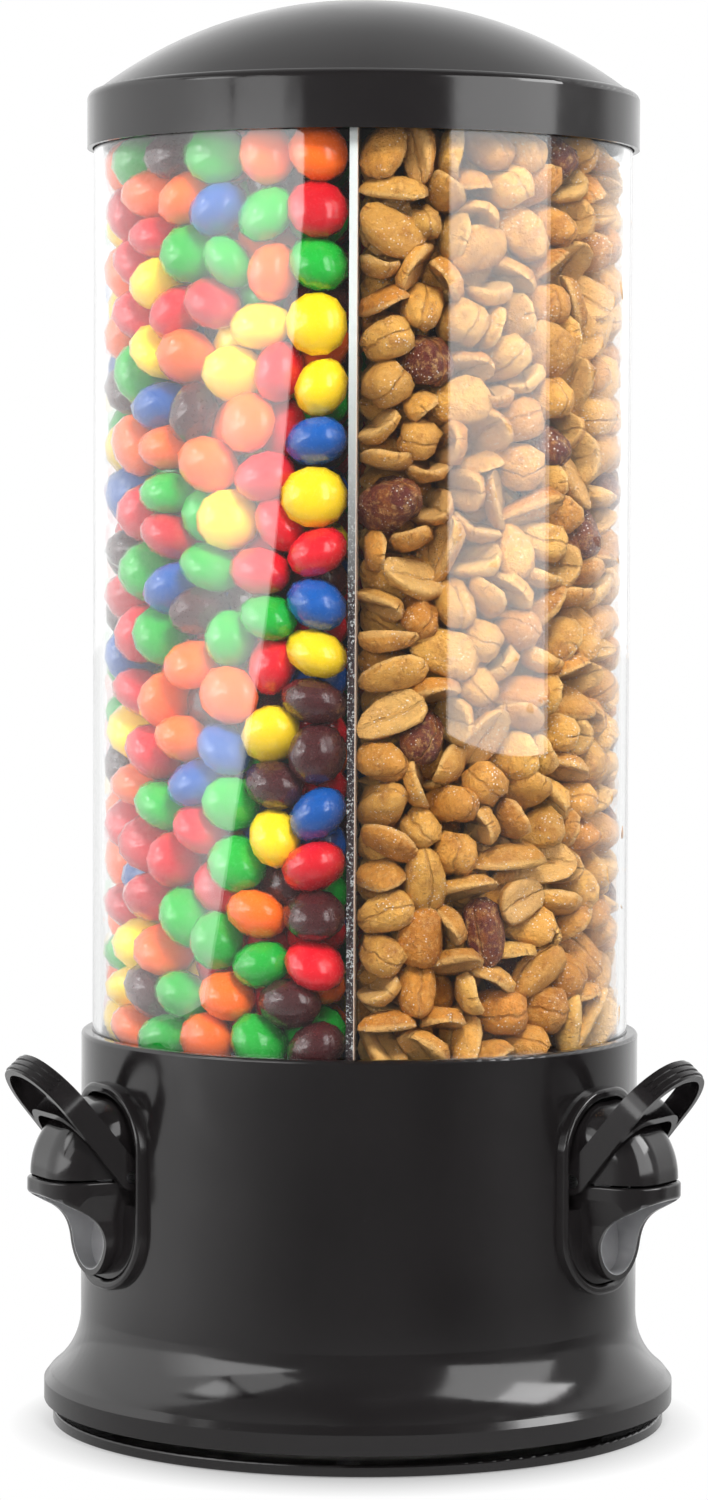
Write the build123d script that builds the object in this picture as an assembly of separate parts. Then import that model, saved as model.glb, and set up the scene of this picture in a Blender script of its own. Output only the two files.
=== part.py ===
"""Three-compartment sweets and nuts dispenser with portion levers, on a turning foot.

Millimetres. +Z is up and the object's axis is the Z axis. The origin is on that axis, at the
underside of the foot's rubber mat. The front, where one vane of the divider shows edge on,
faces -Y. The three spouts stand at 90, 210 and 330 degrees about the axis.
"""
from build123d import *
import os
from math import sqrt

# Whole object
TOTAL_HEIGHT = 330.0
SPOUT_ANGLES = {"rear": 90.0, "left": 210.0, "right": 330.0}
VANE_ANGLES = (30.0, 150.0, 270.0)

# Size past every feature, for cutting tools that only have to reach through
PAST = 100.0

# Foot and turntable
MAT_RADIUS = 60.0
MAT_THICKNESS = 1.0
FOOT_RADIUS = 71.5
FOOT_BOTTOM = 0.3
FOOT_TOP = 2.9
FOOT_EDGE_ROUND = 0.6
RACE_RADIUS = 54.0
BALL_RADIUS = 2.0
BALL_COUNT = 12
BALL_CENTRE_Z = 4.1
BALL_PLAY = 0.05
CAGE_HALF_WIDTH = 3.6
CAGE_THICKNESS = 1.0
CAGE_BALL_PLAY = 0.15

# Pivot in the middle of the foot
PIVOT_RADIUS = 3.0
PIVOT_PLAY = 0.06
PIVOT_BOSS_RADIUS = 13.0
PIVOT_BOSS_TOP = 4.9
PIVOT_HEAD_RADIUS = 5.6
PIVOT_HEAD_HEIGHT = 2.4
PIVOT_HEAD_PLAY = 0.1
PIVOT_TOP = 17.0
HUB_RADIUS = 10.0
HUB_TOP = 11.0
WASHER_PLAY = 0.1
WASHER_RADIUS = 8.5
WASHER_THICKNESS = 1.2
NUT_ACROSS_FLATS = 10.0
NUT_HEIGHT = 4.4

# Base housing: a drum that flares into a flange
HOUSING_RADIUS = 65.0
HOUSING_WALL = 2.5
HOUSING_TOP = 91.3
FLARE_TOP = 26.0
FLARE_RADIUS = 18.0
FLARE_END_Z = 11.6
FLANGE_RADIUS = 73.6
FLANGE_CREASE_Z = 9.8
FLANGE_BOTTOM = 5.2
RIM_ROUND = 0.8
CREASE_ROUND = 2.0
CREASE_INNER_DROP = 0.4
FLARE_MIDDLE = 0.55
COVER_THICKNESS = 2.0
COVER_PLAY = 0.2
BOSS_RADIUS = 4.0
BOSS_CIRCLE = 60.0
BOSS_TOP = 24.0
SCREW_RADIUS = 1.5
SCREW_LENGTH = 14.0
SCREW_HEAD_RADIUS = 2.8
SCREW_HEAD_HEIGHT = 1.6

# Hopper floor with its three chutes
LEDGE_TOP = 84.0
LEDGE_THICKNESS = 2.0
LEDGE_INNER_RADIUS = 58.2
LEDGE_OVERLAP = 1.0
FLOOR_THICKNESS = 1.8
FLOOR_EDGE_THICKNESS = 1.5
FLOOR_APEX_Z = 91.0
FLOOR_RADIUS = 62.3
FLOOR_STEP = 3.0
FLOOR_TUBE_GAP = 0.4
CHUTE_JOIN = 0.9
CHUTE_NOTCH_PLAY = 0.3
CHUTE_HALF_WIDTH = 9.4
CHUTE_WALL = 1.7
CHUTE_INNER_U = 22.0
CHUTE_SLOPE_END_U = 50.5
CHUTE_END_RADIUS = 59.6
CHUTE_BOTTOM_Z = 56.8

# Clear tube, divider and lid
TUBE_RADIUS = 62.45
TUBE_WALL = 2.0
TUBE_TOP = 304.2
DIVIDER_THICKNESS = 1.8
DIVIDER_TOP = 298.4
DIVIDER_TUBE_GAP = 0.25
DIVIDER_FLOOR_GAP = 0.1
LID_RADIUS = 64.0
LID_BOTTOM = 295.8
LID_RIM_TOP = 307.0
LID_DOME_EDGE_RADIUS = 61.8
LID_DOME_EDGE_Z = 308.9
LID_INNER_RADIUS = 62.8
LID_SEAT_Z = 304.5
LID_SKIRT_OUTER = 60.1
LID_SKIRT_INNER = 58.4
LID_SKIRT_BOTTOM = 299.2
LID_WALL = 2.0
LID_INNER_EDGE_DROP = 1.2
LID_RIM_ARC_IN = 0.63
LID_RIM_ARC_UP = 1.3

# Spout parts are drawn in their own frame: u outwards, w sideways, z up
WALL_INNER_U = 50.0
WALL_OUTER_U = 80.0

# Collar around each spout
COLLAR_Z = 58.5
COLLAR_HALF_WIDTH = 16.7
COLLAR_HALF_HEIGHT = 23.5
COLLAR_CORNER = 14.4
COLLAR_HOLE_HALF_WIDTH = 14.9
COLLAR_HOLE_HALF_HEIGHT = 21.2
COLLAR_HOLE_CORNER = 12.8
COLLAR_RADIUS = 67.2
COLLAR_ROUND = 0.8

# Lever axis and the parts that turn on it
PIVOT_U = 64.8
PIVOT_Z = 62.0
AXLE_RADIUS = 1.5
AXLE_PLAY = 0.06
AXLE_HALF_LENGTH = 13.0
HOOD_RADIUS = 17.0
HOOD_HALF_WIDTH = 11.4
HOOD_SHOULDER = 8.0
HOOD_WALL = 1.5
HOOD_BOTTOM_Z = 61.7
COLLAR_GAP = 0.35
EAR_PLAY = 0.15
ROTOR_RADIUS = 14.6
ROTOR_HALF_WIDTH = 8.1
ROTOR_SHOULDER = 5.0
ROTOR_HUB_RADIUS = 3.0
ROTOR_BLADE = 1.4
FRONT_BLADE_ANGLE = 33.0
REAR_BLADE_ANGLE = 178.0
LEVER_ANGLE = 50.0

# Spout
SPOUT_WALL = 1.5
SPOUT_TOP_Z = 61.1
LIP_HALF_WIDTH = 11.4
LIP_OVERHANG = 1.2
LIP_BOTTOM_Z = 58.0
LIP_SKIRT_DROP = 6.0
LIP_TOP_ROUND = 0.5
LIP_UNDER_ROUND = 1.1
FLANGE_HALF_WIDTH = 18.4
FLANGE_HALF_HEIGHT = 22.9
FLANGE_CORNER = 15.0
FLANGE_OUTER_RADIUS = 62.4
FLANGE_THICKNESS = 2.0
THROAT_HALF_WIDTH = 9.4
THROAT_BOTTOM_Z = 58.6
THROAT_TOP_Z = 77.2
EAR_HALF_LENGTH = 3.4
EAR_TOP_Z = 65.6
EAR_OVERLAP = 1.0
TROUGH_HALF_WIDTH = 10.1
TROUGH_CENTRE_Z = 48.5
RIM_BEND_U = 74.8
RIM_BEND_Z = 53.8
RIM_FOOT_U = 69.7
RIM_FOOT_Z = 38.0
RIM_ROUND_RADIUS = 9.0
RIM_CORNER_Z = 51.0
BACK_TOP_U = 62.6
BACK_TOP_Z = 57.0
BACK_FOOT_U = 66.4
BACK_FOOT_Z = 40.0
THROAT_REACH_U = 68.6
CHEEK_RADIUS = 66.4
CHEEK_TOP_Z = 55.5

# Lever
LEVER_REACH = 33.4
LEVER_INNER_HALF_WIDTH = 11.8
LEVER_THICKNESS = 1.6
LEVER_TIP_ROUND = 12.6
LEVER_BAND_TIP = 2.6
LEVER_BAND_ROOT = 3.0
LEVER_START = 8.0
LEVER_BRIDGE_RADIUS = 19.2
LEVER_BRIDGE_THICKNESS = 1.8
LEVER_BRIDGE_SHOULDER = 7.5
LEVER_BRIDGE_OVERLAP = 0.8
GRIP_RIB_COUNT = 3
GRIP_RIB_HEIGHT = 0.35
GRIP_RIB_WIDTH = 0.7
GRIP_RIB_PITCH = 1.5
GRIP_RIB_REACH = 5.0
GRIP_RIB_OVERLAP = 0.4

# Return spring on the axle
SPRING_WIRE_RADIUS = 0.22
SPRING_COIL_RADIUS = 2.2
SPRING_TURNS = 2
SPRING_PITCH = 0.6
SPRING_START_W = 8.4
SPRING_LEG = 4.0

SAVED = []


def save(shape, name):
    """Write one node, and keep its name for the closing message."""
    shape.label = name
    export_step(shape, f"parts/{name}.step")
    SAVED.append(name)


def cylinder(radius, low, high):
    """Upright cylinder on the Z axis between two heights."""
    height = high - low
    return Pos(0, 0, low + height / 2) * Cylinder(radius, height)


def tube(outer, inner, low, high):
    """Upright tube on the Z axis between two heights."""
    return cylinder(outer, low, high) - cylinder(inner, low - 1, high + 1)


def polygon_uz(points):
    """Closed outline in the u-z plane."""
    return Polyline(*[(u, 0, z) for u, z in points], close=True)


def box(u_low, u_high, w_low, w_high, z_low, z_high):
    """Block given by its limits."""
    size = (u_high - u_low, w_high - w_low, z_high - z_low)
    middle = ((u_high + u_low) / 2, (w_high + w_low) / 2, (z_high + z_low) / 2)
    return Pos(*middle) * Box(*size)


def revolved(points):
    """Solid of revolution about Z from an outline of (radius, height) points."""
    return revolve(make_face(polygon_uz(points)), Axis.Z)


def side_plate(outline, half_width):
    """Plate of the given half width from a wire in the spout's u-z plane."""
    return extrude(make_face(outline), half_width, dir=(0, 1, 0), both=True)


def oval(half_width, half_height, corner):
    """Upright oval prism along u through the housing's wall, centred on the collar."""
    plane = Plane(origin=(WALL_INNER_U, 0, COLLAR_Z), x_dir=(0, 1, 0), z_dir=(1, 0, 0))
    section = RectangleRounded(2 * half_width, 2 * half_height, corner)
    return extrude(plane * section, WALL_OUTER_U - WALL_INNER_U)


def turned_about_axle(radius, half_width, shoulder):
    """Drum with round shoulders about the lever's axis."""
    plane = Plane(origin=(PIVOT_U, 0, PIVOT_Z), x_dir=(0, 1, 0), z_dir=(0, 0, 1))
    outline = Plane.XY * Rectangle(2 * half_width, 2 * radius)
    outline = fillet(outline.vertices(), shoulder)
    half = outline & Pos(0, radius) * Rectangle(2 * half_width, 2 * radius)
    drum = revolve(half, Axis.X)
    return plane * drum


def axle_rod(radius, w_low, w_high):
    """Rod along the lever's axis."""
    rod = Pos(0, 0, (w_low + w_high) / 2) * Cylinder(radius, w_high - w_low)
    return Plane(origin=(PIVOT_U, 0, PIVOT_Z), x_dir=(1, 0, 0), z_dir=(0, 1, 0)) * rod


def at_spout(shape, angle):
    """Turn a shape from the spout's own frame to its place round the body."""
    return Rot(0, 0, angle) * shape


def foot_disc():
    """Turntable disc with the lower ball race and the pivot boss."""
    disc = cylinder(FOOT_RADIUS, FOOT_BOTTOM, FOOT_TOP)
    disc = fillet(disc.edges().group_by(Axis.Z)[-1], FOOT_EDGE_ROUND)
    disc += cylinder(PIVOT_BOSS_RADIUS, FOOT_TOP - 1, PIVOT_BOSS_TOP)
    disc -= cylinder(MAT_RADIUS, FOOT_BOTTOM - 1, MAT_THICKNESS)
    disc -= cylinder(PIVOT_HEAD_RADIUS, 0, MAT_THICKNESS + PIVOT_HEAD_HEIGHT)
    disc -= cylinder(PIVOT_RADIUS, 0, PIVOT_TOP)
    return disc - race_groove()


def race_groove():
    """Ring-shaped groove that the balls run in, cut in both races."""
    section = Plane.XZ * Pos(RACE_RADIUS, BALL_CENTRE_Z) * Circle(BALL_RADIUS + BALL_PLAY)
    return revolve(section, Axis.Z)


def bearing_balls():
    """Loose balls as separate solids."""
    places = PolarLocations(RACE_RADIUS, BALL_COUNT)
    ball = Pos(0, 0, BALL_CENTRE_Z) * Sphere(BALL_RADIUS)
    return Compound([place * ball for place in places])


def ball_cage():
    """Flat ring with a hole for each ball."""
    low = BALL_CENTRE_Z - CAGE_THICKNESS / 2
    outer = RACE_RADIUS + CAGE_HALF_WIDTH
    cage = tube(outer, RACE_RADIUS - CAGE_HALF_WIDTH, low, low + CAGE_THICKNESS)
    hole = cylinder(BALL_RADIUS + CAGE_BALL_PLAY, low - 1, low + 2)
    for place in PolarLocations(RACE_RADIUS, BALL_COUNT):
        cage -= place * hole
    return cage


def pivot_bolt():
    """Flat-headed bolt that holds the body down on the foot."""
    radius = PIVOT_HEAD_RADIUS - PIVOT_HEAD_PLAY
    head = cylinder(radius, MAT_THICKNESS, MAT_THICKNESS + PIVOT_HEAD_HEIGHT)
    return head + cylinder(PIVOT_RADIUS, MAT_THICKNESS, PIVOT_TOP)


def pivot_washer():
    """Plain washer above the hub."""
    low = HUB_TOP + WASHER_PLAY
    return tube(WASHER_RADIUS, PIVOT_RADIUS, low, low + WASHER_THICKNESS)


def pivot_nut():
    """Hexagon lock nut above the washer."""
    low = HUB_TOP + WASHER_PLAY + WASHER_THICKNESS
    hexagon = Plane.XY.offset(low) * RegularPolygon(NUT_ACROSS_FLATS / 2, 6, major_radius=False)
    return extrude(hexagon, NUT_HEIGHT) - cylinder(PIVOT_RADIUS, 0, PIVOT_TOP + 1)


def bottom_cover():
    """Disc that closes the housing, with the upper ball race and the pivot hub."""
    outer = FLANGE_RADIUS - HOUSING_WALL - COVER_PLAY
    low = FLANGE_BOTTOM
    cover = cylinder(outer, low, low + COVER_THICKNESS)
    cover += cylinder(HUB_RADIUS, low, HUB_TOP)
    cover -= cylinder(PIVOT_RADIUS + PIVOT_PLAY, low - 1, HUB_TOP + 1)
    for angle in VANE_ANGLES:
        cover -= Rot(0, 0, angle) * Pos(BOSS_CIRCLE, 0, 0) * cover_screw(COVER_PLAY / 2)
    return cover - race_groove()


def cover_screw(play):
    """Countersunk screw, pointing up, on its own axis."""
    low = FLANGE_BOTTOM
    shank = cylinder(SCREW_RADIUS + play, low, low + SCREW_LENGTH)
    head = Cone(SCREW_HEAD_RADIUS + play, SCREW_RADIUS + play, SCREW_HEAD_HEIGHT)
    return shank + Pos(0, 0, low + SCREW_HEAD_HEIGHT / 2) * head


def cover_screws():
    """Screws from the cover into the housing's bosses."""
    places = [Rot(0, 0, angle) * Pos(BOSS_CIRCLE, 0, 0) for angle in VANE_ANGLES]
    return Compound([place * cover_screw(0.0) for place in places])


def flare_line(inset):
    """Housing outline from the drum through the flare to the flange, moved in by inset."""
    centre_x = HOUSING_RADIUS + FLARE_RADIUS
    radius = FLARE_RADIUS + inset
    drop = FLARE_TOP - FLARE_END_Z
    end = Vector(centre_x - sqrt(radius**2 - drop**2), 0, FLARE_END_Z)
    middle_drop = drop * FLARE_MIDDLE
    middle = Vector(centre_x - sqrt(radius**2 - middle_drop**2), 0, FLARE_TOP - middle_drop)
    start = Vector(HOUSING_RADIUS - inset, 0, FLARE_TOP)
    return ThreePointArc(start, middle, end), end


def housing_body():
    """Outer and inner outlines of the housing, turned about the axis."""
    solids = []
    for inset, top, bottom in ((0.0, HOUSING_TOP, FLANGE_BOTTOM), (HOUSING_WALL, PAST, 0.0)):
        arc, end = flare_line(inset)
        wall = HOUSING_RADIUS - inset
        band = FLANGE_RADIUS - inset
        crease = Vector(band, 0, FLANGE_CREASE_Z - inset * CREASE_INNER_DROP)
        lines = [
            Line((0, 0, bottom), (0, 0, top)),
            Line((0, 0, top), (wall, 0, top)),
            Line((wall, 0, top), (wall, 0, FLARE_TOP)),
            arc,
            Line(end, crease),
            Line(crease, (band, 0, bottom)),
            Line((band, 0, bottom), (0, 0, bottom)),
        ]
        solids.append(revolve(make_face(lines), Axis.Z))
    outer, inner = solids
    crease_edge = outer.edges().filter_by_position(Axis.Z, FLARE_END_Z - 0.1, FLARE_END_Z + 0.1)
    outer = fillet(crease_edge, CREASE_ROUND)
    rim_edge = outer.edges().group_by(Axis.Z)[-1]
    outer = fillet(rim_edge, RIM_ROUND)
    return outer - inner


def collar():
    """Raised oval ring round one spout opening, up to the body's outer wall."""
    ring = oval(COLLAR_HALF_WIDTH, COLLAR_HALF_HEIGHT, COLLAR_CORNER)
    ring &= tube(COLLAR_RADIUS, HOUSING_RADIUS - HOUSING_WALL / 2, 0, PAST)
    ring -= collar_hole()
    front = ring.faces().sort_by(lambda face: -face.center().X)[0]
    return fillet(front.edges(), COLLAR_ROUND)


def collar_hole():
    """Oval opening through the housing's wall inside a collar."""
    return oval(COLLAR_HOLE_HALF_WIDTH, COLLAR_HOLE_HALF_HEIGHT, COLLAR_HOLE_CORNER)


def collar_filling():
    """Oval prism that fits in a collar's hole with a small gap all round."""
    gap = COLLAR_GAP
    return oval(COLLAR_HOLE_HALF_WIDTH - gap, COLLAR_HOLE_HALF_HEIGHT - gap, COLLAR_HOLE_CORNER - gap)


def base_housing():
    """Drum, collars, screw bosses and the ledge that carries the hopper floor."""
    body = housing_body()
    ledge_outer = HOUSING_RADIUS - LEDGE_OVERLAP
    body += tube(ledge_outer, LEDGE_INNER_RADIUS, LEDGE_TOP - LEDGE_THICKNESS, LEDGE_TOP)
    bosses = cylinder(BOSS_RADIUS, FLANGE_BOTTOM + COVER_THICKNESS, BOSS_TOP)
    bosses -= cylinder(SCREW_RADIUS, 0, FLANGE_BOTTOM + SCREW_LENGTH + 1)
    inside = housing_inside()
    for angle in VANE_ANGLES:
        body += (Rot(0, 0, angle) * Pos(BOSS_CIRCLE, 0, 0) * bosses) & inside
    chute = CHUTE_HALF_WIDTH + CHUTE_WALL + CHUTE_NOTCH_PLAY
    notch_end = CHUTE_END_RADIUS + CHUTE_NOTCH_PLAY
    notch = box(WALL_INNER_U, notch_end, -chute, chute, CHUTE_BOTTOM_Z, LEDGE_TOP + 1)
    for angle in SPOUT_ANGLES.values():
        body += at_spout(collar(), angle)
        body -= at_spout(collar_hole(), angle)
        body -= at_spout(notch, angle)
    return body


def housing_inside():
    """Space inside the housing's outer surface, to trim its inner features."""
    low = cylinder(FLANGE_RADIUS - 1, 0, FLARE_END_Z - 1)
    return low + cylinder(HOUSING_RADIUS - 1, 0, HOUSING_TOP - 1)


def floor_height(radius):
    """Height of the hopper floor's upper face at a radius."""
    edge = LEDGE_TOP + FLOOR_EDGE_THICKNESS
    return FLOOR_APEX_Z + (edge - FLOOR_APEX_Z) * radius / TUBE_RADIUS


def chute_line(drop):
    """Outline of a chute's space in the u-z plane, lowered by drop."""
    top = FLOOR_APEX_Z
    start_z = floor_height(CHUTE_INNER_U) - drop
    points = [
        (CHUTE_INNER_U - drop, top),
        (CHUTE_INNER_U - drop, start_z),
        (CHUTE_SLOPE_END_U - drop / 2, CHUTE_BOTTOM_Z + FLOOR_THICKNESS - drop),
        (WALL_OUTER_U, CHUTE_BOTTOM_Z + FLOOR_THICKNESS - drop),
        (WALL_OUTER_U, top),
    ]
    return polygon_uz(points)


def hopper_floor():
    """Low cone with a chute down to each spout."""
    inner = TUBE_RADIUS - TUBE_WALL - FLOOR_TUBE_GAP
    edge_top = LEDGE_TOP + FLOOR_EDGE_THICKNESS
    body = revolved(
        [
            (0, FLOOR_APEX_Z),
            (inner, floor_height(inner)),
            (inner, edge_top),
            (FLOOR_RADIUS, edge_top),
            (FLOOR_RADIUS, LEDGE_TOP),
            (TUBE_RADIUS - TUBE_WALL - FLOOR_STEP, LEDGE_TOP),
            (0, FLOOR_APEX_Z - FLOOR_THICKNESS),
        ]
    )
    under = revolved(
        [
            (0, FLOOR_APEX_Z - CHUTE_JOIN),
            (FLOOR_RADIUS, edge_top - CHUTE_JOIN),
            (FLOOR_RADIUS, 0),
            (0, 0),
        ]
    )
    under &= cylinder(CHUTE_END_RADIUS, 0, PAST)
    outside = side_plate(chute_line(FLOOR_THICKNESS), CHUTE_HALF_WIDTH + CHUTE_WALL)
    inside = side_plate(chute_line(0.0), CHUTE_HALF_WIDTH)
    inside &= cylinder(CHUTE_END_RADIUS + FLOOR_TUBE_GAP, 0, PAST)
    for angle in SPOUT_ANGLES.values():
        body += at_spout(outside, angle) & under
    for angle in SPOUT_ANGLES.values():
        body -= at_spout(inside, angle)
    return body


def clear_tube():
    """Clear tube that stands on the hopper floor's edge."""
    low = LEDGE_TOP + FLOOR_EDGE_THICKNESS
    return tube(TUBE_RADIUS, TUBE_RADIUS - TUBE_WALL, low, TUBE_TOP)


def divider():
    """Three clear vanes that meet on the axis and follow the hopper floor."""
    reach = TUBE_RADIUS - TUBE_WALL - DIVIDER_TUBE_GAP
    points = [
        (0, floor_height(0) + DIVIDER_FLOOR_GAP),
        (reach, floor_height(reach) + DIVIDER_FLOOR_GAP),
        (reach, DIVIDER_TOP),
        (0, DIVIDER_TOP),
    ]
    vane = side_plate(polygon_uz(points), DIVIDER_THICKNESS / 2)
    whole = Rot(0, 0, VANE_ANGLES[0]) * vane
    for angle in VANE_ANGLES[1:]:
        whole += Rot(0, 0, angle) * vane
    return whole & cylinder(reach, 0, DIVIDER_TOP)


def dome_line(edge_radius, edge_z, top_z):
    """Arc over the lid from its edge to the middle."""
    sag = top_z - edge_z
    sphere = (edge_radius**2 + sag**2) / (2 * sag)
    half = edge_radius / 2
    middle = (half, 0, top_z - sphere + sqrt(sphere**2 - half**2))
    return ThreePointArc((edge_radius, 0, edge_z), middle, (0, 0, top_z))


def lid():
    """Domed lid with a skirt inside the tube and a rim outside it."""
    inner_edge_z = LID_DOME_EDGE_Z - LID_INNER_EDGE_DROP
    rim_round = ThreePointArc(
        (LID_RADIUS, 0, LID_RIM_TOP),
        (LID_RADIUS - LID_RIM_ARC_IN, 0, LID_RIM_TOP + LID_RIM_ARC_UP),
        (LID_DOME_EDGE_RADIUS, 0, LID_DOME_EDGE_Z),
    )
    lines = [
        Line((LID_INNER_RADIUS, 0, LID_BOTTOM), (LID_RADIUS, 0, LID_BOTTOM)),
        Line((LID_RADIUS, 0, LID_BOTTOM), (LID_RADIUS, 0, LID_RIM_TOP)),
        rim_round,
        dome_line(LID_DOME_EDGE_RADIUS, LID_DOME_EDGE_Z, TOTAL_HEIGHT),
        Line((0, 0, TOTAL_HEIGHT), (0, 0, TOTAL_HEIGHT - LID_WALL)),
        dome_line(LID_SKIRT_INNER, inner_edge_z, TOTAL_HEIGHT - LID_WALL),
        Line((LID_SKIRT_INNER, 0, inner_edge_z), (LID_SKIRT_INNER, 0, LID_SKIRT_BOTTOM)),
        Line((LID_SKIRT_INNER, 0, LID_SKIRT_BOTTOM), (LID_SKIRT_OUTER, 0, LID_SKIRT_BOTTOM)),
        Line((LID_SKIRT_OUTER, 0, LID_SKIRT_BOTTOM), (LID_SKIRT_OUTER, 0, LID_SEAT_Z)),
        Line((LID_SKIRT_OUTER, 0, LID_SEAT_Z), (LID_INNER_RADIUS, 0, LID_SEAT_Z)),
        Line((LID_INNER_RADIUS, 0, LID_SEAT_Z), (LID_INNER_RADIUS, 0, LID_BOTTOM)),
    ]
    return revolve(make_face(lines), Axis.Z)


def hood():
    """Round cover over the turning scoop, above the spout's lip."""
    shell = turned_about_axle(HOOD_RADIUS, HOOD_HALF_WIDTH, HOOD_SHOULDER)
    inner_width = HOOD_HALF_WIDTH - HOOD_WALL
    shell -= turned_about_axle(HOOD_RADIUS - HOOD_WALL, inner_width, HOOD_SHOULDER - HOOD_WALL)
    reach = collar_filling()
    reach &= box(WALL_INNER_U, COLLAR_RADIUS + COLLAR_GAP, -PAST, PAST, 0, PAST)
    reach -= cylinder(FLANGE_OUTER_RADIUS, 0, PAST)
    reach += box(COLLAR_RADIUS + COLLAR_GAP, PAST, -PAST, PAST, 0, PAST)
    shell &= reach
    shell &= box(0, PAST, -PAST, PAST, HOOD_BOTTOM_Z, PAST)
    return shell - ears(EAR_PLAY)


def ears(play):
    """Blocks of the spout's side walls that hold the axle above the lip."""
    low = PIVOT_U - EAR_HALF_LENGTH - play
    high = PIVOT_U + EAR_HALF_LENGTH + play
    outer = HOOD_HALF_WIDTH + play
    whole = box(low, high, -outer, outer, SPOUT_TOP_Z - EAR_OVERLAP, EAR_TOP_Z + play)
    inner = HOOD_HALF_WIDTH - HOOD_WALL - play
    return whole - box(0, PAST, -inner, inner, 0, PAST)


def rim_line():
    """Side outline of the spout: down the wall, out under the lip and back along its top."""
    tip_u = PIVOT_U + HOOD_RADIUS + LIP_OVERHANG
    slope = (LIP_BOTTOM_Z - RIM_BEND_Z) / (tip_u - RIM_BEND_U)
    corner_z = RIM_BEND_Z - slope * (RIM_BEND_U - RIM_FOOT_U)
    inner_u = FLANGE_OUTER_RADIUS - EAR_OVERLAP
    points = [
        (inner_u, SPOUT_TOP_Z),
        (inner_u, RIM_FOOT_Z),
        (RIM_FOOT_U, RIM_FOOT_Z),
        (RIM_FOOT_U, corner_z),
        (tip_u, LIP_BOTTOM_Z),
        (tip_u, SPOUT_TOP_Z),
    ]
    return polygon_uz(points)


def spout_side():
    """Spout's outer block with the concave front edge and the lip's rounded edges."""
    plate = side_plate(rim_line(), COLLAR_HALF_WIDTH)
    corner = plate.edges().filter_by(Axis.Y).sort_by_distance((RIM_FOOT_U, 0, RIM_CORNER_Z))[0]
    block = fillet(corner, RIM_ROUND_RADIUS) & plan_prism(0.0)
    top = block.faces().sort_by(Axis.Z)[-1].edges()
    block = fillet(top.filter_by(lambda edge: edge.center().X > FLANGE_OUTER_RADIUS), LIP_TOP_ROUND)
    return fillet(block.edges().filter_by(is_under_edge), LIP_UNDER_ROUND)


def is_under_edge(edge):
    """Whether an edge runs round the lip's underside, and is no seam across it or up its wall."""
    middle = edge.center()
    across = abs(middle.Y) < 0.1 and middle.X < PIVOT_U + HOOD_RADIUS
    upright = abs(edge.tangent_at(0).Z) > 0.99
    return middle.X > RIM_FOOT_U and middle.Z < LIP_BOTTOM_Z + 0.1 and not across and not upright


def trough_section(half_width, top_z):
    """Round-bottomed channel section along u, up to top_z."""
    inner_u = FLANGE_OUTER_RADIUS - FLANGE_THICKNESS
    plane = Plane(origin=(inner_u, 0, 0), x_dir=(0, 1, 0), z_dir=(1, 0, 0))
    height = top_z - TROUGH_CENTRE_Z
    section = Pos(0, TROUGH_CENTRE_Z) * Circle(half_width)
    section += Pos(0, TROUGH_CENTRE_Z + height / 2) * Rectangle(2 * half_width, height)
    return extrude(plane * section, PAST)


def spout():
    """Flange, lip, side walls and back wall of one spout, in one moulding."""
    side = spout_side()
    body = side & trough_section(TROUGH_HALF_WIDTH, SPOUT_TOP_Z)
    body += side & lip_skirt()
    body += cheeks()
    flange = oval(FLANGE_HALF_WIDTH, FLANGE_HALF_HEIGHT, FLANGE_CORNER)
    flange &= tube(FLANGE_OUTER_RADIUS, FLANGE_OUTER_RADIUS - FLANGE_THICKNESS, 0, PAST)
    body += flange
    inner = trough_section(TROUGH_HALF_WIDTH - SPOUT_WALL, SPOUT_TOP_Z + 1) & back_space()
    chamber = plan_prism(SPOUT_WALL + LIP_OVERHANG)
    chamber &= box(BACK_TOP_U, PAST, -PAST, PAST, BACK_TOP_Z + 1, SPOUT_TOP_Z + 1)
    body -= inner & plan_prism(SPOUT_WALL)
    body -= chamber
    body += ears(0.0) - cylinder(FLANGE_OUTER_RADIUS - EAR_OVERLAP, 0, PAST)
    width = THROAT_HALF_WIDTH
    body -= box(WALL_INNER_U, THROAT_REACH_U, -width, width, THROAT_BOTTOM_Z, THROAT_TOP_Z)
    body -= axle_rod(AXLE_RADIUS + AXLE_PLAY, -PAST, PAST)
    return body


def cheeks():
    """Lower cover between the trough's sides and the collar, below the lever's travel."""
    cover = collar_filling() & cylinder(CHEEK_RADIUS, 0, CHEEK_TOP_Z)
    return cover - cylinder(FLANGE_OUTER_RADIUS - EAR_OVERLAP, 0, PAST)


def plan_prism(inset):
    """Upright prism with the lip's plan: parallel sides and a rounded front."""
    tip = PIVOT_U + HOOD_RADIUS + LIP_OVERHANG - inset
    half = LIP_HALF_WIDTH - max(inset - LIP_OVERHANG, 0)
    plan = Pos((WALL_INNER_U + tip) / 2, 0) * Rectangle(tip - WALL_INNER_U, 2 * half)
    front = plan.vertices().group_by(Axis.X)[-1]
    return extrude(fillet(front, HOOD_SHOULDER + LIP_OVERHANG - inset), PAST)


def lip_skirt():
    """Block that thins from the lip's full width down to the trough's sides."""
    wide = LIP_HALF_WIDTH
    narrow = TROUGH_HALF_WIDTH
    low = LIP_BOTTOM_Z - LIP_SKIRT_DROP
    plane = Plane(origin=(FLANGE_OUTER_RADIUS, 0, 0), x_dir=(0, 1, 0), z_dir=(1, 0, 0))
    points = [
        (-narrow, low),
        (narrow, low),
        (wide, LIP_BOTTOM_Z),
        (wide, SPOUT_TOP_Z),
        (-wide, SPOUT_TOP_Z),
        (-wide, LIP_BOTTOM_Z),
    ]
    return extrude(plane * make_face(Polyline(*points, close=True)), PAST)


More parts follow.
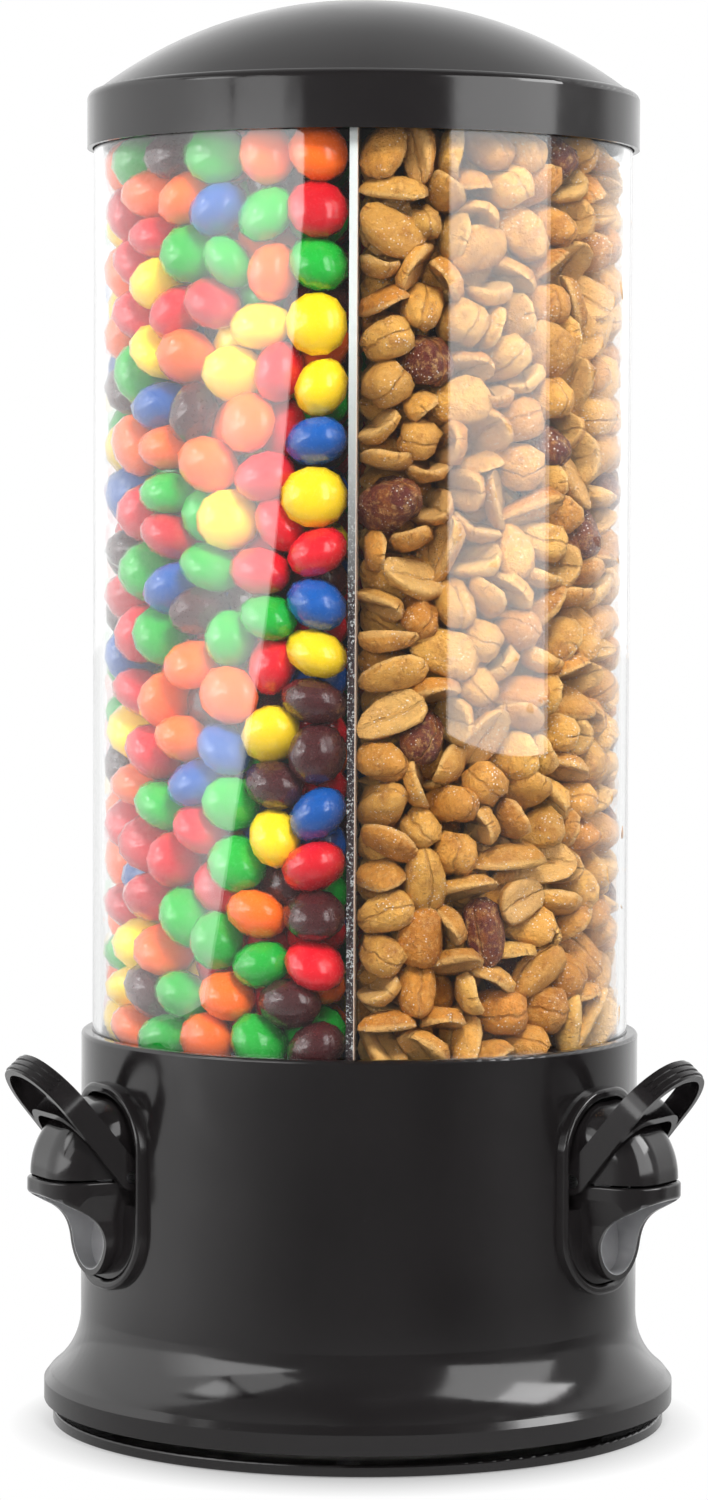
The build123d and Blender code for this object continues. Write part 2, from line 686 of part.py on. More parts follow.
def back_space():
    """Space in front of the trough's sloping back wall."""
    points = [
        (BACK_TOP_U, PAST),
        (BACK_TOP_U, BACK_TOP_Z),
        (BACK_FOOT_U, BACK_FOOT_Z),
        (BACK_FOOT_U, 0),
        (PAST, 0),
        (PAST, PAST),
    ]
    return side_plate(polygon_uz(points), PAST)


def blade(angle):
    """One scoop blade from the hub outwards at an angle above +u."""
    drum = turned_about_axle(ROTOR_RADIUS, ROTOR_HALF_WIDTH, ROTOR_SHOULDER)
    flat = box(0, PAST, -PAST, PAST, -ROTOR_BLADE / 2, ROTOR_BLADE / 2)
    turned = Pos(PIVOT_U, 0, PIVOT_Z) * Rot(0, -angle, 0) * flat
    return drum & turned


def rotor():
    """Scoop with two blades that carries one portion over the axle."""
    hub = axle_rod(ROTOR_HUB_RADIUS, -ROTOR_HALF_WIDTH, ROTOR_HALF_WIDTH)
    body = hub + blade(FRONT_BLADE_ANGLE) + blade(REAR_BLADE_ANGLE)
    return body - axle_rod(AXLE_RADIUS, -PAST, PAST)


def axle():
    """Steel pin through the spout, the scoop and both lever arms."""
    return axle_rod(AXLE_RADIUS, -AXLE_HALF_LENGTH, AXLE_HALF_LENGTH)


def lever_loop(half_width, reach, tip_round):
    """Loop outline in the lever's own plane, extruded past the band's width."""
    length = reach + LEVER_START
    plan = Pos(reach - length / 2, 0) * Rectangle(length, 2 * half_width)
    front = plan.vertices().group_by(Axis.X)[-1]
    return extrude(fillet(front, tip_round), LEVER_REACH, both=True)


def lever_band():
    """Side outline of the lever: a hub round the axle and a band that narrows outwards."""
    points = [
        (0, -LEVER_BAND_ROOT),
        (LEVER_REACH + 1, -LEVER_BAND_TIP),
        (LEVER_REACH + 1, LEVER_BAND_TIP),
        (0, LEVER_BAND_ROOT),
    ]
    band = Circle(LEVER_BAND_ROOT) + make_face(Polyline(*points, close=True))
    return extrude(Plane.XZ * band, LEVER_REACH, both=True)


def grip_ribs():
    """Ribs that follow the outside of the lever's rounded tip."""
    high = GRIP_RIB_HEIGHT
    low = -GRIP_RIB_OVERLAP
    half = LEVER_INNER_HALF_WIDTH + LEVER_THICKNESS
    skin = lever_loop(half + high, LEVER_REACH + high, LEVER_TIP_ROUND + high)
    skin -= lever_loop(half + low, LEVER_REACH + low, LEVER_TIP_ROUND + low)
    ribs = []
    for index in range(GRIP_RIB_COUNT):
        middle = (index - (GRIP_RIB_COUNT - 1) / 2) * GRIP_RIB_PITCH
        start = LEVER_REACH - GRIP_RIB_REACH
        edge = GRIP_RIB_WIDTH / 2
        ribs.append(skin & box(start, PAST, -PAST, PAST, middle - edge, middle + edge))
    return ribs


def lever():
    """Finger loop: two arms beside the hood, a bridge over it and a ribbed tip."""
    wall = LEVER_THICKNESS
    loop = lever_loop(LEVER_INNER_HALF_WIDTH + wall, LEVER_REACH, LEVER_TIP_ROUND)
    loop -= Pos(-wall, 0, 0) * lever_loop(LEVER_INNER_HALF_WIDTH, LEVER_REACH, LEVER_TIP_ROUND - wall)
    body = loop & lever_band()
    for rib in grip_ribs():
        body += rib
    place = Pos(PIVOT_U, 0, PIVOT_Z) * Rot(0, -LEVER_ANGLE, 0)
    ahead = lever_band() & box(LEVER_BAND_ROOT, PAST, -PAST, PAST, -PAST, PAST)
    body = place * body + (lever_bridge() & place * ahead)
    return body - axle_rod(AXLE_RADIUS, -PAST, PAST)


def lever_bridge():
    """Arched ring that clears the hood and the lip and meets both arms."""
    inner = LEVER_BRIDGE_RADIUS
    outer = inner + LEVER_BRIDGE_THICKNESS
    half = LEVER_INNER_HALF_WIDTH
    ring = turned_about_axle(outer, half + LEVER_BRIDGE_OVERLAP, LEVER_BRIDGE_SHOULDER)
    return ring - turned_about_axle(inner, half, LEVER_BRIDGE_SHOULDER)


def spring():
    """Return spring: wire turns round the axle beside the scoop, with two straight legs."""
    radius = SPRING_COIL_RADIUS
    w = SPRING_START_W
    quarter = SPRING_PITCH / 4
    wire = [Line((radius, w, SPRING_LEG), (radius, w, 0))]
    for turn in range(2 * SPRING_TURNS):
        side = radius if turn % 2 == 0 else -radius
        start = (side, w, 0)
        middle = (0, w + quarter, -side)
        end = (-side, w + 2 * quarter, 0)
        wire.append(ThreePointArc(start, middle, end))
        w += 2 * quarter
    wire.append(Line((radius, w, 0), (radius, w, -SPRING_LEG)))
    start = Plane(origin=(radius, SPRING_START_W, SPRING_LEG), z_dir=(0, 0, -1))
    coil = sweep(start * Circle(SPRING_WIRE_RADIUS), Wire(wire))
    return Pos(PIVOT_U, 0, PIVOT_Z) * coil


os.makedirs("parts", exist_ok=True)
save(cylinder(MAT_RADIUS - 0.2, 0, MAT_THICKNESS), "foot_mat")
save(foot_disc(), "foot_disc")
save(bearing_balls(), "bearing_balls")
save(ball_cage(), "ball_cage")
save(pivot_bolt(), "pivot_bolt")
save(pivot_washer(), "pivot_washer")
save(pivot_nut(), "pivot_nut")
save(bottom_cover(), "bottom_cover")
save(cover_screws(), "cover_screws")
save(base_housing(), "base_housing")
save(hopper_floor(), "hopper_floor")
save(clear_tube(), "clear_tube")
save(divider(), "divider")
save(lid(), "lid")
for side, angle in SPOUT_ANGLES.items():
    save(at_spout(spout(), angle), f"spout_{side}")
    save(at_spout(hood(), angle), f"hood_{side}")
    save(at_spout(rotor(), angle), f"scoop_{side}")
    save(at_spout(axle(), angle), f"axle_{side}")
    save(at_spout(lever(), angle), f"lever_{side}")
    save(at_spout(spring(), angle), f"spring_{side}")
print(len(SAVED), "nodes")
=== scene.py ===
"""Looks of the candy dispenser: plastics, hardware, its filling and the studio round it.

Everything is in metres, in the frame of the construction model. The dispenser's front faces -Y.
"""
from math import cos, pi, radians, sin

import bpy
import numpy as np
from bpy.props import FloatProperty, FloatVectorProperty, IntProperty, PointerProperty
from mathutils import Matrix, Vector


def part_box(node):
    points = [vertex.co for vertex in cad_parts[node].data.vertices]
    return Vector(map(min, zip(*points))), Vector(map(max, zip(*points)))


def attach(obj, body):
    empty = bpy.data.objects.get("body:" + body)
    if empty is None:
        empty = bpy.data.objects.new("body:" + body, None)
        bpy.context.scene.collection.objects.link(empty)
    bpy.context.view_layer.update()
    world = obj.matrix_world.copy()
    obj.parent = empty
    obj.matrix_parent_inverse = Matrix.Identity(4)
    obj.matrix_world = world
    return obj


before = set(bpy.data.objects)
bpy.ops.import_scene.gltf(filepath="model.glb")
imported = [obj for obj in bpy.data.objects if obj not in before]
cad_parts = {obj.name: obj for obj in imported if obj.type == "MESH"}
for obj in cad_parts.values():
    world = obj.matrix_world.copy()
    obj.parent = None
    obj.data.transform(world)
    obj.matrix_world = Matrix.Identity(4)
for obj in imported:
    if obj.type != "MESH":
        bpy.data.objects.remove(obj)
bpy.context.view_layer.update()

bl_info = {
    "name": "Candy dispenser",
    "version": (1, 0, 0),
    "blender": (4, 5, 0),
    "location": "View3D > Sidebar > Dispenser",
    "description": "Plastics, hardware, filling and studio for a turning candy dispenser",
    "category": "Object",
}

TUBE_LOW, TUBE_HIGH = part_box("clear_tube")
DIVIDER_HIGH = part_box("divider")[1]
FLOOR_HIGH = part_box("hopper_floor")[1]

# Middle angle of each compartment and its spout, in degrees from +X, and the angle it spans.
SIDES = {"rear": 90, "left": 210, "right": 330}
SPAN = 120

# Sizes of the construction model that its boxes don't give.
TUBE_WALL = 0.002
HALF_VANE = 0.0009

# A spout's trough: the height of its middle line, the distances from that line and the heights
# over which its painted light fades out, and the radius from the axis where it starts.
TROUGH_MIDDLE = 0.0485
TROUGH_SIDES = (0.0087, 0.009)
TROUGH_TOP = (0.0555, 0.0575)
TROUGH_START = 0.0615

# A divider vane: the radii over which it turns from clear to an outer edge painted as a dark
# reflection with glints, the heights over which that edge turns to painted light, and the radii
# over which dust gathers on the front vane's right face, which is where Y is below and X above
# the last two values.
PAINTED_EDGE_RADII = (0.0595, 0.0598)
PAINTED_LIGHT_HEIGHTS = (0.192, 0.255)
DUSTY = (0.03, 0.058)
DUSTY_FRONT = -0.03
DUSTY_RIGHT = 0.0007

# Room that the filling leaves at the wall and the vanes, over the low cone and under the top.
SIDE_PLAY = 0.0003
CONE_PLAY = 0.0005
TOP_PLAY = 0.0004

# How the filling varies. The spreads are shares of a size or of a colour's brightness. A whole
# nut's height is a share of its width.
SWEET_SEEDS = {"left": 7, "rear": 5}
SWEET_SHARES = {"red": 0.27, "orange": 0.17, "yellow": 0.1, "green": 0.19, "blue": 0.11, "brown": 0.16}
SWEET_SIZE_SPREAD = 0.035
SWEET_COLOUR_SPREAD = 0.06
NUT_SEED = 11
NUT_SIZE_SPREAD = 0.09
NUT_COLOUR_SPREAD = 0.08
WHOLE_SHARE = 0.28
WHOLE_HEIGHT = 0.94
SKINNED_SHARE = 0.17

# A nut's mesh: shapes of each kind, points in a ring, rings, and the shares of its length where
# the first and last ring stand.
NUT_SHAPES = 3
NUT_RING = 12
NUT_RINGS = 6
RING_ENDS = (0.06, 0.94)

# Rounds of pushing the filling apart, the rounds that one list of near pairs serves, and how far
# apart a near pair is at most, in longest sizes. In a round, both of a pair move by the first share
# of their overlap and turn by the second, but never by more than the last value.
ROUNDS = 320
ROUNDS_A_LIST = 8
NEAR_PAIR = 1.06
PUSHED = 0.42
TURNED = 0.25
MOST_TURN = 0.3

# Colours of dust, of painted light in the troughs, of toasting and of painted shade in the seams.
DUST = (0.16, 0.16, 0.17)
# Painted light: the lighter grey of the spouts' troughs.
TROUGH_PAINTED_LIGHT = (0.3, 0.3, 0.31)
BLOOM = (0.9, 0.88, 0.84)
TOASTED_AND_SEAM_SHADE = (0.34, 0.1, 0.01)
INNER_FACE = (0.9, 0.57, 0.21)
VEINS = (0.8, 0.48, 0.16)
SALT = (0.97, 0.95, 0.9)

# The floor: half its side, the distances from the foot's middle over which it goes from shaded to
# white, and the radii over which its mirror image goes from grey to the brightnesses below.
FLOOR_REACH = 6.0
FOOT_SHADOW = (0.056, 0.086)
MIRRORED_NEAR = (0.12, 0.26)

# Brightness of the floor and of the surround as mirrors show them, by the angle round the axis in
# degrees: 0 is the front and 90 the right.
FLOOR_MIRRORED = (
    (-180, 0.92), (-149, 0.85), (-126, 0.8), (-97, 1.0), (-69, 0.95), (-50, 0.62), (-33, 0.36), (-16, 0.2),
    (0, 0.18), (17, 0.16), (34, 0.1), (60, 0.28), (72, 0.26), (85, 0.1), (104, 0.3), (121, 0.6), (141, 0.9),
    (179, 0.92),
)
SURROUND_MIRRORED = (
    (-180, 0.8), (-150, 0.95), (-120, 0.7), (-60, 0.4), (-25, 0.2), (0, 0.14), (30, 0.14), (60, 0.2),
    (84, 0.25), (90, 0.42), (114, 0.36), (126, 0.9), (158, 0.95), (179, 0.8),
)

# The left panel's brighter part lies below a slope, given by its height on the axis and its rise.
BRIGHT_HEIGHT = 0.29
BRIGHT_RISE = 0.086


class PlasticSettings(bpy.types.PropertyGroup):
    """Finish of the black mouldings."""

    colour: FloatVectorProperty(
        name="Black",
        description="Colour of the gloss mouldings",
        subtype="COLOR",
        default=(0.0062, 0.0054, 0.0056),
    )
    gloss: FloatProperty(
        name="Roughness", description="Roughness of the gloss mouldings", default=0.13, min=0, max=1
    )
    ripple: FloatProperty(
        name="Ripple", description="Height of the mould's faint ripple", default=0.00012, unit="LENGTH"
    )
    scoop_colour: FloatVectorProperty(
        name="Scoop", description="Colour of the satin scoops", subtype="COLOR", default=(0.028, 0.028, 0.029)
    )


class ClearSettings(bpy.types.PropertyGroup):
    """Finish of the clear tube and divider."""

    tint: FloatVectorProperty(
        name="Tint",
        description="Colour of light through the wall",
        subtype="COLOR",
        default=(0.985, 0.99, 0.99),
    )
    index: FloatProperty(
        name="Index", description="Refractive index of the plastic", default=1.46, min=1, max=2
    )
    haze: FloatProperty(
        name="Haze", description="Roughness of the handled wall", default=0.02, min=0, max=1
    )


class SweetsSettings(bpy.types.PropertyGroup):
    """Coated sweets in the left and rear compartments."""

    count: IntProperty(name="Count", description="Sweets in the compartment", default=475, min=1)
    length: FloatProperty(name="Length", description="Longest size of a sweet", default=0.0146, unit="LENGTH")
    width: FloatProperty(name="Width", description="Middle size of a sweet", default=0.0141, unit="LENGTH")
    height: FloatProperty(
        name="Height", description="Smallest size of a sweet", default=0.0109, unit="LENGTH"
    )
    red: FloatVectorProperty(
        name="Red", description="Red coating", subtype="COLOR", default=(0.56, 0.004, 0.013)
    )
    orange: FloatVectorProperty(
        name="Orange", description="Orange coating", subtype="COLOR", default=(0.93, 0.13, 0.003)
    )
    yellow: FloatVectorProperty(
        name="Yellow", description="Yellow coating", subtype="COLOR", default=(0.9, 0.6, 0.006)
    )
    green: FloatVectorProperty(
        name="Green", description="Green coating", subtype="COLOR", default=(0.006, 0.36, 0.03)
    )
    blue: FloatVectorProperty(
        name="Blue", description="Blue coating", subtype="COLOR", default=(0.003, 0.078, 0.33)
    )
    brown: FloatVectorProperty(
        name="Brown", description="Brown coating", subtype="COLOR", default=(0.045, 0.008, 0.009)
    )


class NutsSettings(bpy.types.PropertyGroup):
    """Roasted peanuts in the right compartment."""

    count: IntProperty(name="Count", description="Peanuts in the compartment", default=960, min=1)
    length: FloatProperty(
        name="Length", description="Longest size of a peanut", default=0.0149, unit="LENGTH"
    )
    width: FloatProperty(name="Width", description="Width of a peanut", default=0.0101, unit="LENGTH")
    height: FloatProperty(
        name="Height", description="Height of a split peanut", default=0.0076, unit="LENGTH"
    )
    roasted: FloatVectorProperty(
        name="Roasted", description="Roasted peanut", subtype="COLOR", default=(0.58, 0.21, 0.022)
    )
    pale: FloatVectorProperty(
        name="Pale", description="Pale peanut", subtype="COLOR", default=(0.83, 0.44, 0.09)
    )
    skin: FloatVectorProperty(
        name="Skin", description="Red-brown peanut skin", subtype="COLOR", default=(0.12, 0.022, 0.015)
    )


class StudioSettings(bpy.types.PropertyGroup):
    """Camera and lights."""

    distance: FloatProperty(name="Distance", description="Camera to axis", default=1.0666, unit="LENGTH")
    height: FloatProperty(name="Height", description="Camera height", default=0.2096, unit="LENGTH")
    yaw: FloatProperty(
        name="Yaw", description="Camera round the axis", default=radians(2.0), unit="ROTATION"
    )
    pitch: FloatProperty(
        name="Pitch", description="Camera looking down", default=radians(2.843), unit="ROTATION"
    )
    roll: FloatProperty(name="Roll", description="Camera roll", default=radians(0.264), unit="ROTATION")
    lens: FloatProperty(name="Lens", description="Focal length in mm on a 36 mm side", default=109.75)
    shift: FloatProperty(name="Shift", description="Sideways shift of the frame", default=-0.0045)
    left_panel: FloatProperty(name="Left panel", description="Radiance of the tall left panel", default=2.3)
    right_panel: FloatProperty(name="Right panel", description="Radiance of the right panel", default=3.8)
    upper_left: FloatProperty(
        name="Upper left", description="Radiance of the soft upper left panel", default=5.0
    )
    upper_right: FloatProperty(
        name="Upper right", description="Radiance of the upper right panel", default=9.0
    )
    key_light: FloatProperty(name="Key light", description="Power of the upper front light", default=24.0)
    front_fill: FloatProperty(name="Front fill", description="Power of the front light", default=12.0)


class Tree:
    """Short way to build one material's nodes."""

    def __init__(self, name, owners=None, output="OutputMaterial"):
        owners = bpy.data.materials if owners is None else owners
        self.material = owners.new(name)
        self.material.use_nodes = True
        self.nodes = self.material.node_tree.nodes
        self.links = self.material.node_tree.links
        self.nodes.clear()
        self.output = self.add(output)

    def add(self, kind, settings=None, **inputs):
        """New node with attributes from settings and inputs by name, from values or sockets."""
        node = self.nodes.new("ShaderNode" + kind)
        for key, value in (settings or {}).items():
            setattr(node, key, value)
        for key, value in inputs.items():
            self.feed(node, key.replace("_", " "), value)
        return node

    def feed(self, node, key, value):
        """Set one input, by number or name, from a value or a socket."""
        if isinstance(value, bpy.types.NodeSocket):
            self.links.new(value, node.inputs[key])
        else:
            node.inputs[key].default_value = value

    def operate(self, kind, operation, *inputs):
        """New Math or VectorMath node with its inputs in order."""
        node = self.add(kind, {"operation": operation})
        for number, value in enumerate(inputs):
            self.feed(node, number, value)
        return node

    def object_coordinates(self):
        """Coordinates in metres in the shared frame."""
        return self.add("TexCoord").outputs["Object"]

    def noise(self, scale, detail=2.0, roughness=0.5, vector=None):
        """Noise value on object coordinates."""
        where = vector or self.object_coordinates()
        node = self.add("TexNoise", Vector=where, Scale=scale, Detail=detail, Roughness=roughness)
        return node.outputs["Fac"]

    def ranged(self, value, low, high, to_low, to_high):
        """Map a value from one range to another, clamped."""
        node = self.add("MapRange", Value=value, From_Min=low, From_Max=high, To_Min=to_low, To_Max=to_high)
        return node.outputs["Result"]

    def mixed(self, share, first, second):
        """Mix of two colours, which are inputs 6 and 7 of the node, with its result in output 2."""
        node = self.add("Mix", {"data_type": "RGBA"})
        self.feed(node, 0, share)
        for number, colour in ((6, first), (7, second)):
            self.feed(node, number, colour if isinstance(colour, bpy.types.NodeSocket) else (*colour, 1))
        return node.outputs[2]

    def math(self, operation, first, second=0.0):
        """Result of one operation on values or sockets."""
        return self.operate("Math", operation, first, second).outputs[0]

    def length(self, vector, centre=(0, 0, 0), stretch=(1, 1, 1)):
        """Distance from a centre, with each axis stretched first."""
        moved = self.operate("VectorMath", "SUBTRACT", vector, centre)
        scaled = self.operate("VectorMath", "MULTIPLY", moved.outputs[0], stretch)
        return self.operate("VectorMath", "LENGTH", scaled.outputs[0]).outputs["Value"]

    def round_about(self, vector, steps):
        """Brightness by the angle about the upright axis, 0 at the front and 90 on the right.

        The steps are pairs of an angle in degrees and a brightness.
        """
        split = self.add("SeparateXYZ", Vector=vector)
        front = self.math("MULTIPLY", split.outputs["Y"], -1.0)
        angle = self.math("ARCTAN2", split.outputs["X"], front)
        place = self.ranged(angle, -pi, pi, 0.0, 1.0)
        ramp = self.add("ValToRGB", Fac=place)
        band = ramp.color_ramp
        while len(band.elements) < len(steps):
            band.elements.new(0.5)
        for element, (degrees, value) in zip(band.elements, steps):
            element.position = degrees / 360 + 0.5
            element.color = (value, value, value, 1)
        return ramp.outputs["Color"]

    def bump(self, height, distance, strength=1.0, normal=None):
        """Normal from a height, on top of another normal."""
        node = self.add("Bump", Height=height, Distance=distance, Strength=strength)
        if normal is not None:
            self.feed(node, "Normal", normal)
        return node.outputs["Normal"]

    def blend(self, share, first, second):
        """Mix of two shader nodes."""
        node = self.add("MixShader")
        for number, value in enumerate((share, first.outputs[0], second.outputs[0])):
            self.feed(node, number, value)
        return node

    def show(self, shader):
        """Connect a shader node as the surface and return the material."""
        self.links.new(shader.outputs[0], self.output.inputs["Surface"])
        return self.material


def gloss_black(name, colour, roughness, ripple, trough_angle=None):
    """Gloss moulded plastic: faint ripple, uneven gloss and a little dust.

    With an angle, the trough on that side is painted a lighter satin grey as painted light, in place
    of the floor's light that the trough's own walls keep out, and its roughness rises there.
    """
    tree = Tree(name)
    where = tree.object_coordinates()
    waves = tree.noise(38, 1.0, 0.4, where)
    grain = tree.noise(900, 2.0, 0.6, where)
    smears = tree.noise(55, 4.0, 0.65, where)
    rough = tree.ranged(smears, 0.35, 0.7, roughness * 0.8, roughness * 1.5)
    specks = tree.ranged(tree.noise(2600, 1.0, 0.5, where), 0.76, 0.86, 0.0, 0.18)
    shade = tree.mixed(tree.ranged(waves, 0.3, 0.7, 0.0, 1.0), colour, [c * 1.25 for c in colour])
    shade = tree.mixed(specks, shade, DUST)
    if trough_angle is not None:
        # Painted light: the trough turns unevenly to a lighter grey where the floor's light would reach it.
        uneven = tree.ranged(smears, 0.3, 0.6, 0.75, 1.0)
        painted_floor_light = tree.math("MULTIPLY", trough_share(tree, trough_angle), uneven)
        shade = tree.mixed(painted_floor_light, shade, TROUGH_PAINTED_LIGHT)
        rough = tree.math("ADD", rough, tree.math("MULTIPLY", painted_floor_light, 0.28))
    normal = tree.bump(waves, ripple, 0.6, tree.bump(grain, 0.000015, 0.25))
    return tree.show(tree.add("BsdfPrincipled", Base_Color=shade, Roughness=rough, IOR=1.5, Normal=normal))


def trough_share(tree, degrees):
    """1 inside the round-bottomed trough of the spout at an angle, and 0 elsewhere.

    Above the trough's middle line, the distance from that line counts sideways alone.
    """
    turned = tree.add("Mapping", Vector=tree.object_coordinates(), Rotation=(0, 0, -radians(degrees)))
    split = tree.add("SeparateXYZ", Vector=turned.outputs["Vector"])
    below = tree.math("MAXIMUM", tree.math("SUBTRACT", TROUGH_MIDDLE, split.outputs["Z"]), 0.0)
    sideways = tree.math("MULTIPLY", split.outputs["Y"], split.outputs["Y"])
    away = tree.math("SQRT", tree.math("ADD", sideways, tree.math("MULTIPLY", below, below)))
    inside = tree.ranged(away, *TROUGH_SIDES, 1.0, 0.0)
    under_lip = tree.ranged(split.outputs["Z"], *TROUGH_TOP, 1.0, 0.0)
    outer = tree.math("GREATER_THAN", split.outputs["X"], TROUGH_START)
    return tree.math("MULTIPLY", tree.math("MULTIPLY", inside, under_lip), outer)


def satin_plastic(name, colour, roughness):
    """Satin moulded plastic with a fine grain."""
    tree = Tree(name)
    grain = tree.noise(1500, 3.0, 0.6)
    shade = tree.mixed(tree.noise(60, 3.0), colour, [c * 1.4 for c in colour])
    rough = tree.ranged(grain, 0.3, 0.7, roughness * 0.85, roughness * 1.15)
    normal = tree.bump(grain, 0.00003, 0.5)
    return tree.show(tree.add("BsdfPrincipled", Base_Color=shade, Roughness=rough, IOR=1.5, Normal=normal))


def clear_shader(tree, where, tint, index, haze):
    """Clear plastic, smeared by hands, that lets lamps through to the filling."""
    smears = tree.noise(30, 4.0, 0.7, where)
    rough = tree.ranged(smears, 0.45, 0.75, 0.0, haze)
    normal = tree.bump(tree.noise(14, 1.0, 0.3, where), 0.0004, 0.25)
    solid = tree.add(
        "BsdfPrincipled",
        Base_Color=(*tint, 1),
        Roughness=rough,
        IOR=index,
        Transmission_Weight=1.0,
        Normal=normal,
    )
    path = tree.add("LightPath")
    open_way = tree.add("BsdfTransparent", Color=(*tint, 1))
    return tree.blend(path.outputs["Is Shadow Ray"], solid, open_way)


def tube_plastic(name, finish):
    """Clear plastic of the tube."""
    tree = Tree(name)
    return tree.show(clear_shader(tree, tree.object_coordinates(), *finish))


def vane_plastic(name, finish):
    """Clear plastic of the divider, with painted light on its outer edges and dust from the nuts.

    The outer edge is a painted dark reflection with pale specks as painted glints, and it turns to a
    pale painted light towards the top, in place of light that runs along the clear vane. The dust
    lies on the right face of the front vane.
    """
    tree = Tree(name)
    where = tree.object_coordinates()
    radius = tree.length(where, stretch=(1, 1, 0))
    split = tree.add("SeparateXYZ", Vector=where)
    # The outer edge is painted: a dark reflection with pale specks as glints, and pale light towards the top.
    specks = tree.ranged(tree.noise(1900, 3.0, 0.7, where), 0.54, 0.62, 0.0, 0.6)
    edge_painted_light = tree.ranged(split.outputs["Z"], *PAINTED_LIGHT_HEIGHTS, 0.0, 1.0)
    pale = tree.add("BsdfDiffuse", Color=(0.6, 0.63, 0.62, 1))
    dark = tree.add("BsdfPrincipled", Base_Color=(0.022, 0.014, 0.016, 1), Roughness=0.25)
    painted_edge = tree.blend(tree.math("MAXIMUM", specks, edge_painted_light), dark, pale)
    clear = clear_shader(tree, where, *finish)
    edged = tree.blend(tree.ranged(radius, *PAINTED_EDGE_RADII, 0.0, 0.85), clear, painted_edge)
    front = tree.math("LESS_THAN", split.outputs["Y"], DUSTY_FRONT)
    right = tree.math("GREATER_THAN", split.outputs["X"], DUSTY_RIGHT)
    gathered = tree.ranged(radius, *DUSTY, 0.0, 0.6)
    dusty = tree.math("MULTIPLY", tree.math("MULTIPLY", front, right), gathered)
    dust = tree.add("BsdfDiffuse", Color=(0.66, 0.52, 0.42, 1))
    return tree.show(tree.blend(dusty, edged, dust))


def metal(name, colour, roughness, brush):
    """Bare metal with a fine brushed or rolled grain."""
    tree = Tree(name)
    mapping = tree.add("Mapping", Vector=tree.object_coordinates(), Scale=(1, 1, brush))
    grain = tree.noise(700, 3.0, 0.6, mapping.outputs["Vector"])
    rough = tree.ranged(grain, 0.3, 0.7, roughness * 0.7, roughness * 1.3)
    shade = tree.mixed(grain, colour, [c * 0.8 for c in colour])
    normal = tree.bump(grain, 0.00001, 0.3)
    return tree.show(
        tree.add("BsdfPrincipled", Base_Color=shade, Metallic=1.0, Roughness=rough, Normal=normal)
    )


def rubber(name):
    """Matt rubber with a fine pitted texture."""
    tree = Tree(name)
    pits = tree.add("TexVoronoi", Vector=tree.object_coordinates(), Scale=1400.0).outputs["Distance"]
    shade = tree.mixed(pits, (0.018, 0.018, 0.018), (0.04, 0.04, 0.041))
    normal = tree.bump(pits, 0.00006, 0.6)
    return tree.show(tree.add("BsdfPrincipled", Base_Color=shade, Roughness=0.85, Normal=normal))


def coated_sugar(name):
    """Coated sweets: the colour comes from each sweet, the shell is glossy and faintly mottled."""
    tree = Tree(name)
    shell = tree.add("Attribute", {"attribute_name": "shell_colour"}).outputs["Color"]
    mottle = tree.ranged(tree.noise(420, 3.0, 0.6), 0.5, 0.8, 0.0, 0.015)
    shade = tree.mixed(mottle, shell, BLOOM)
    pores = tree.noise(1300, 2.0)
    dimples = tree.noise(260, 1.0)
    normal = tree.bump(dimples, 0.00012, 0.5, tree.bump(pores, 0.00003, 0.3))
    shader = tree.add(
        "BsdfPrincipled",
        Base_Color=shade,
        Roughness=tree.ranged(pores, 0.3, 0.7, 0.2, 0.3),
        IOR=1.5,
        Coat_Weight=0.8,
        Coat_Roughness=0.05,
        Normal=normal,
    )
    return tree.show(shader)


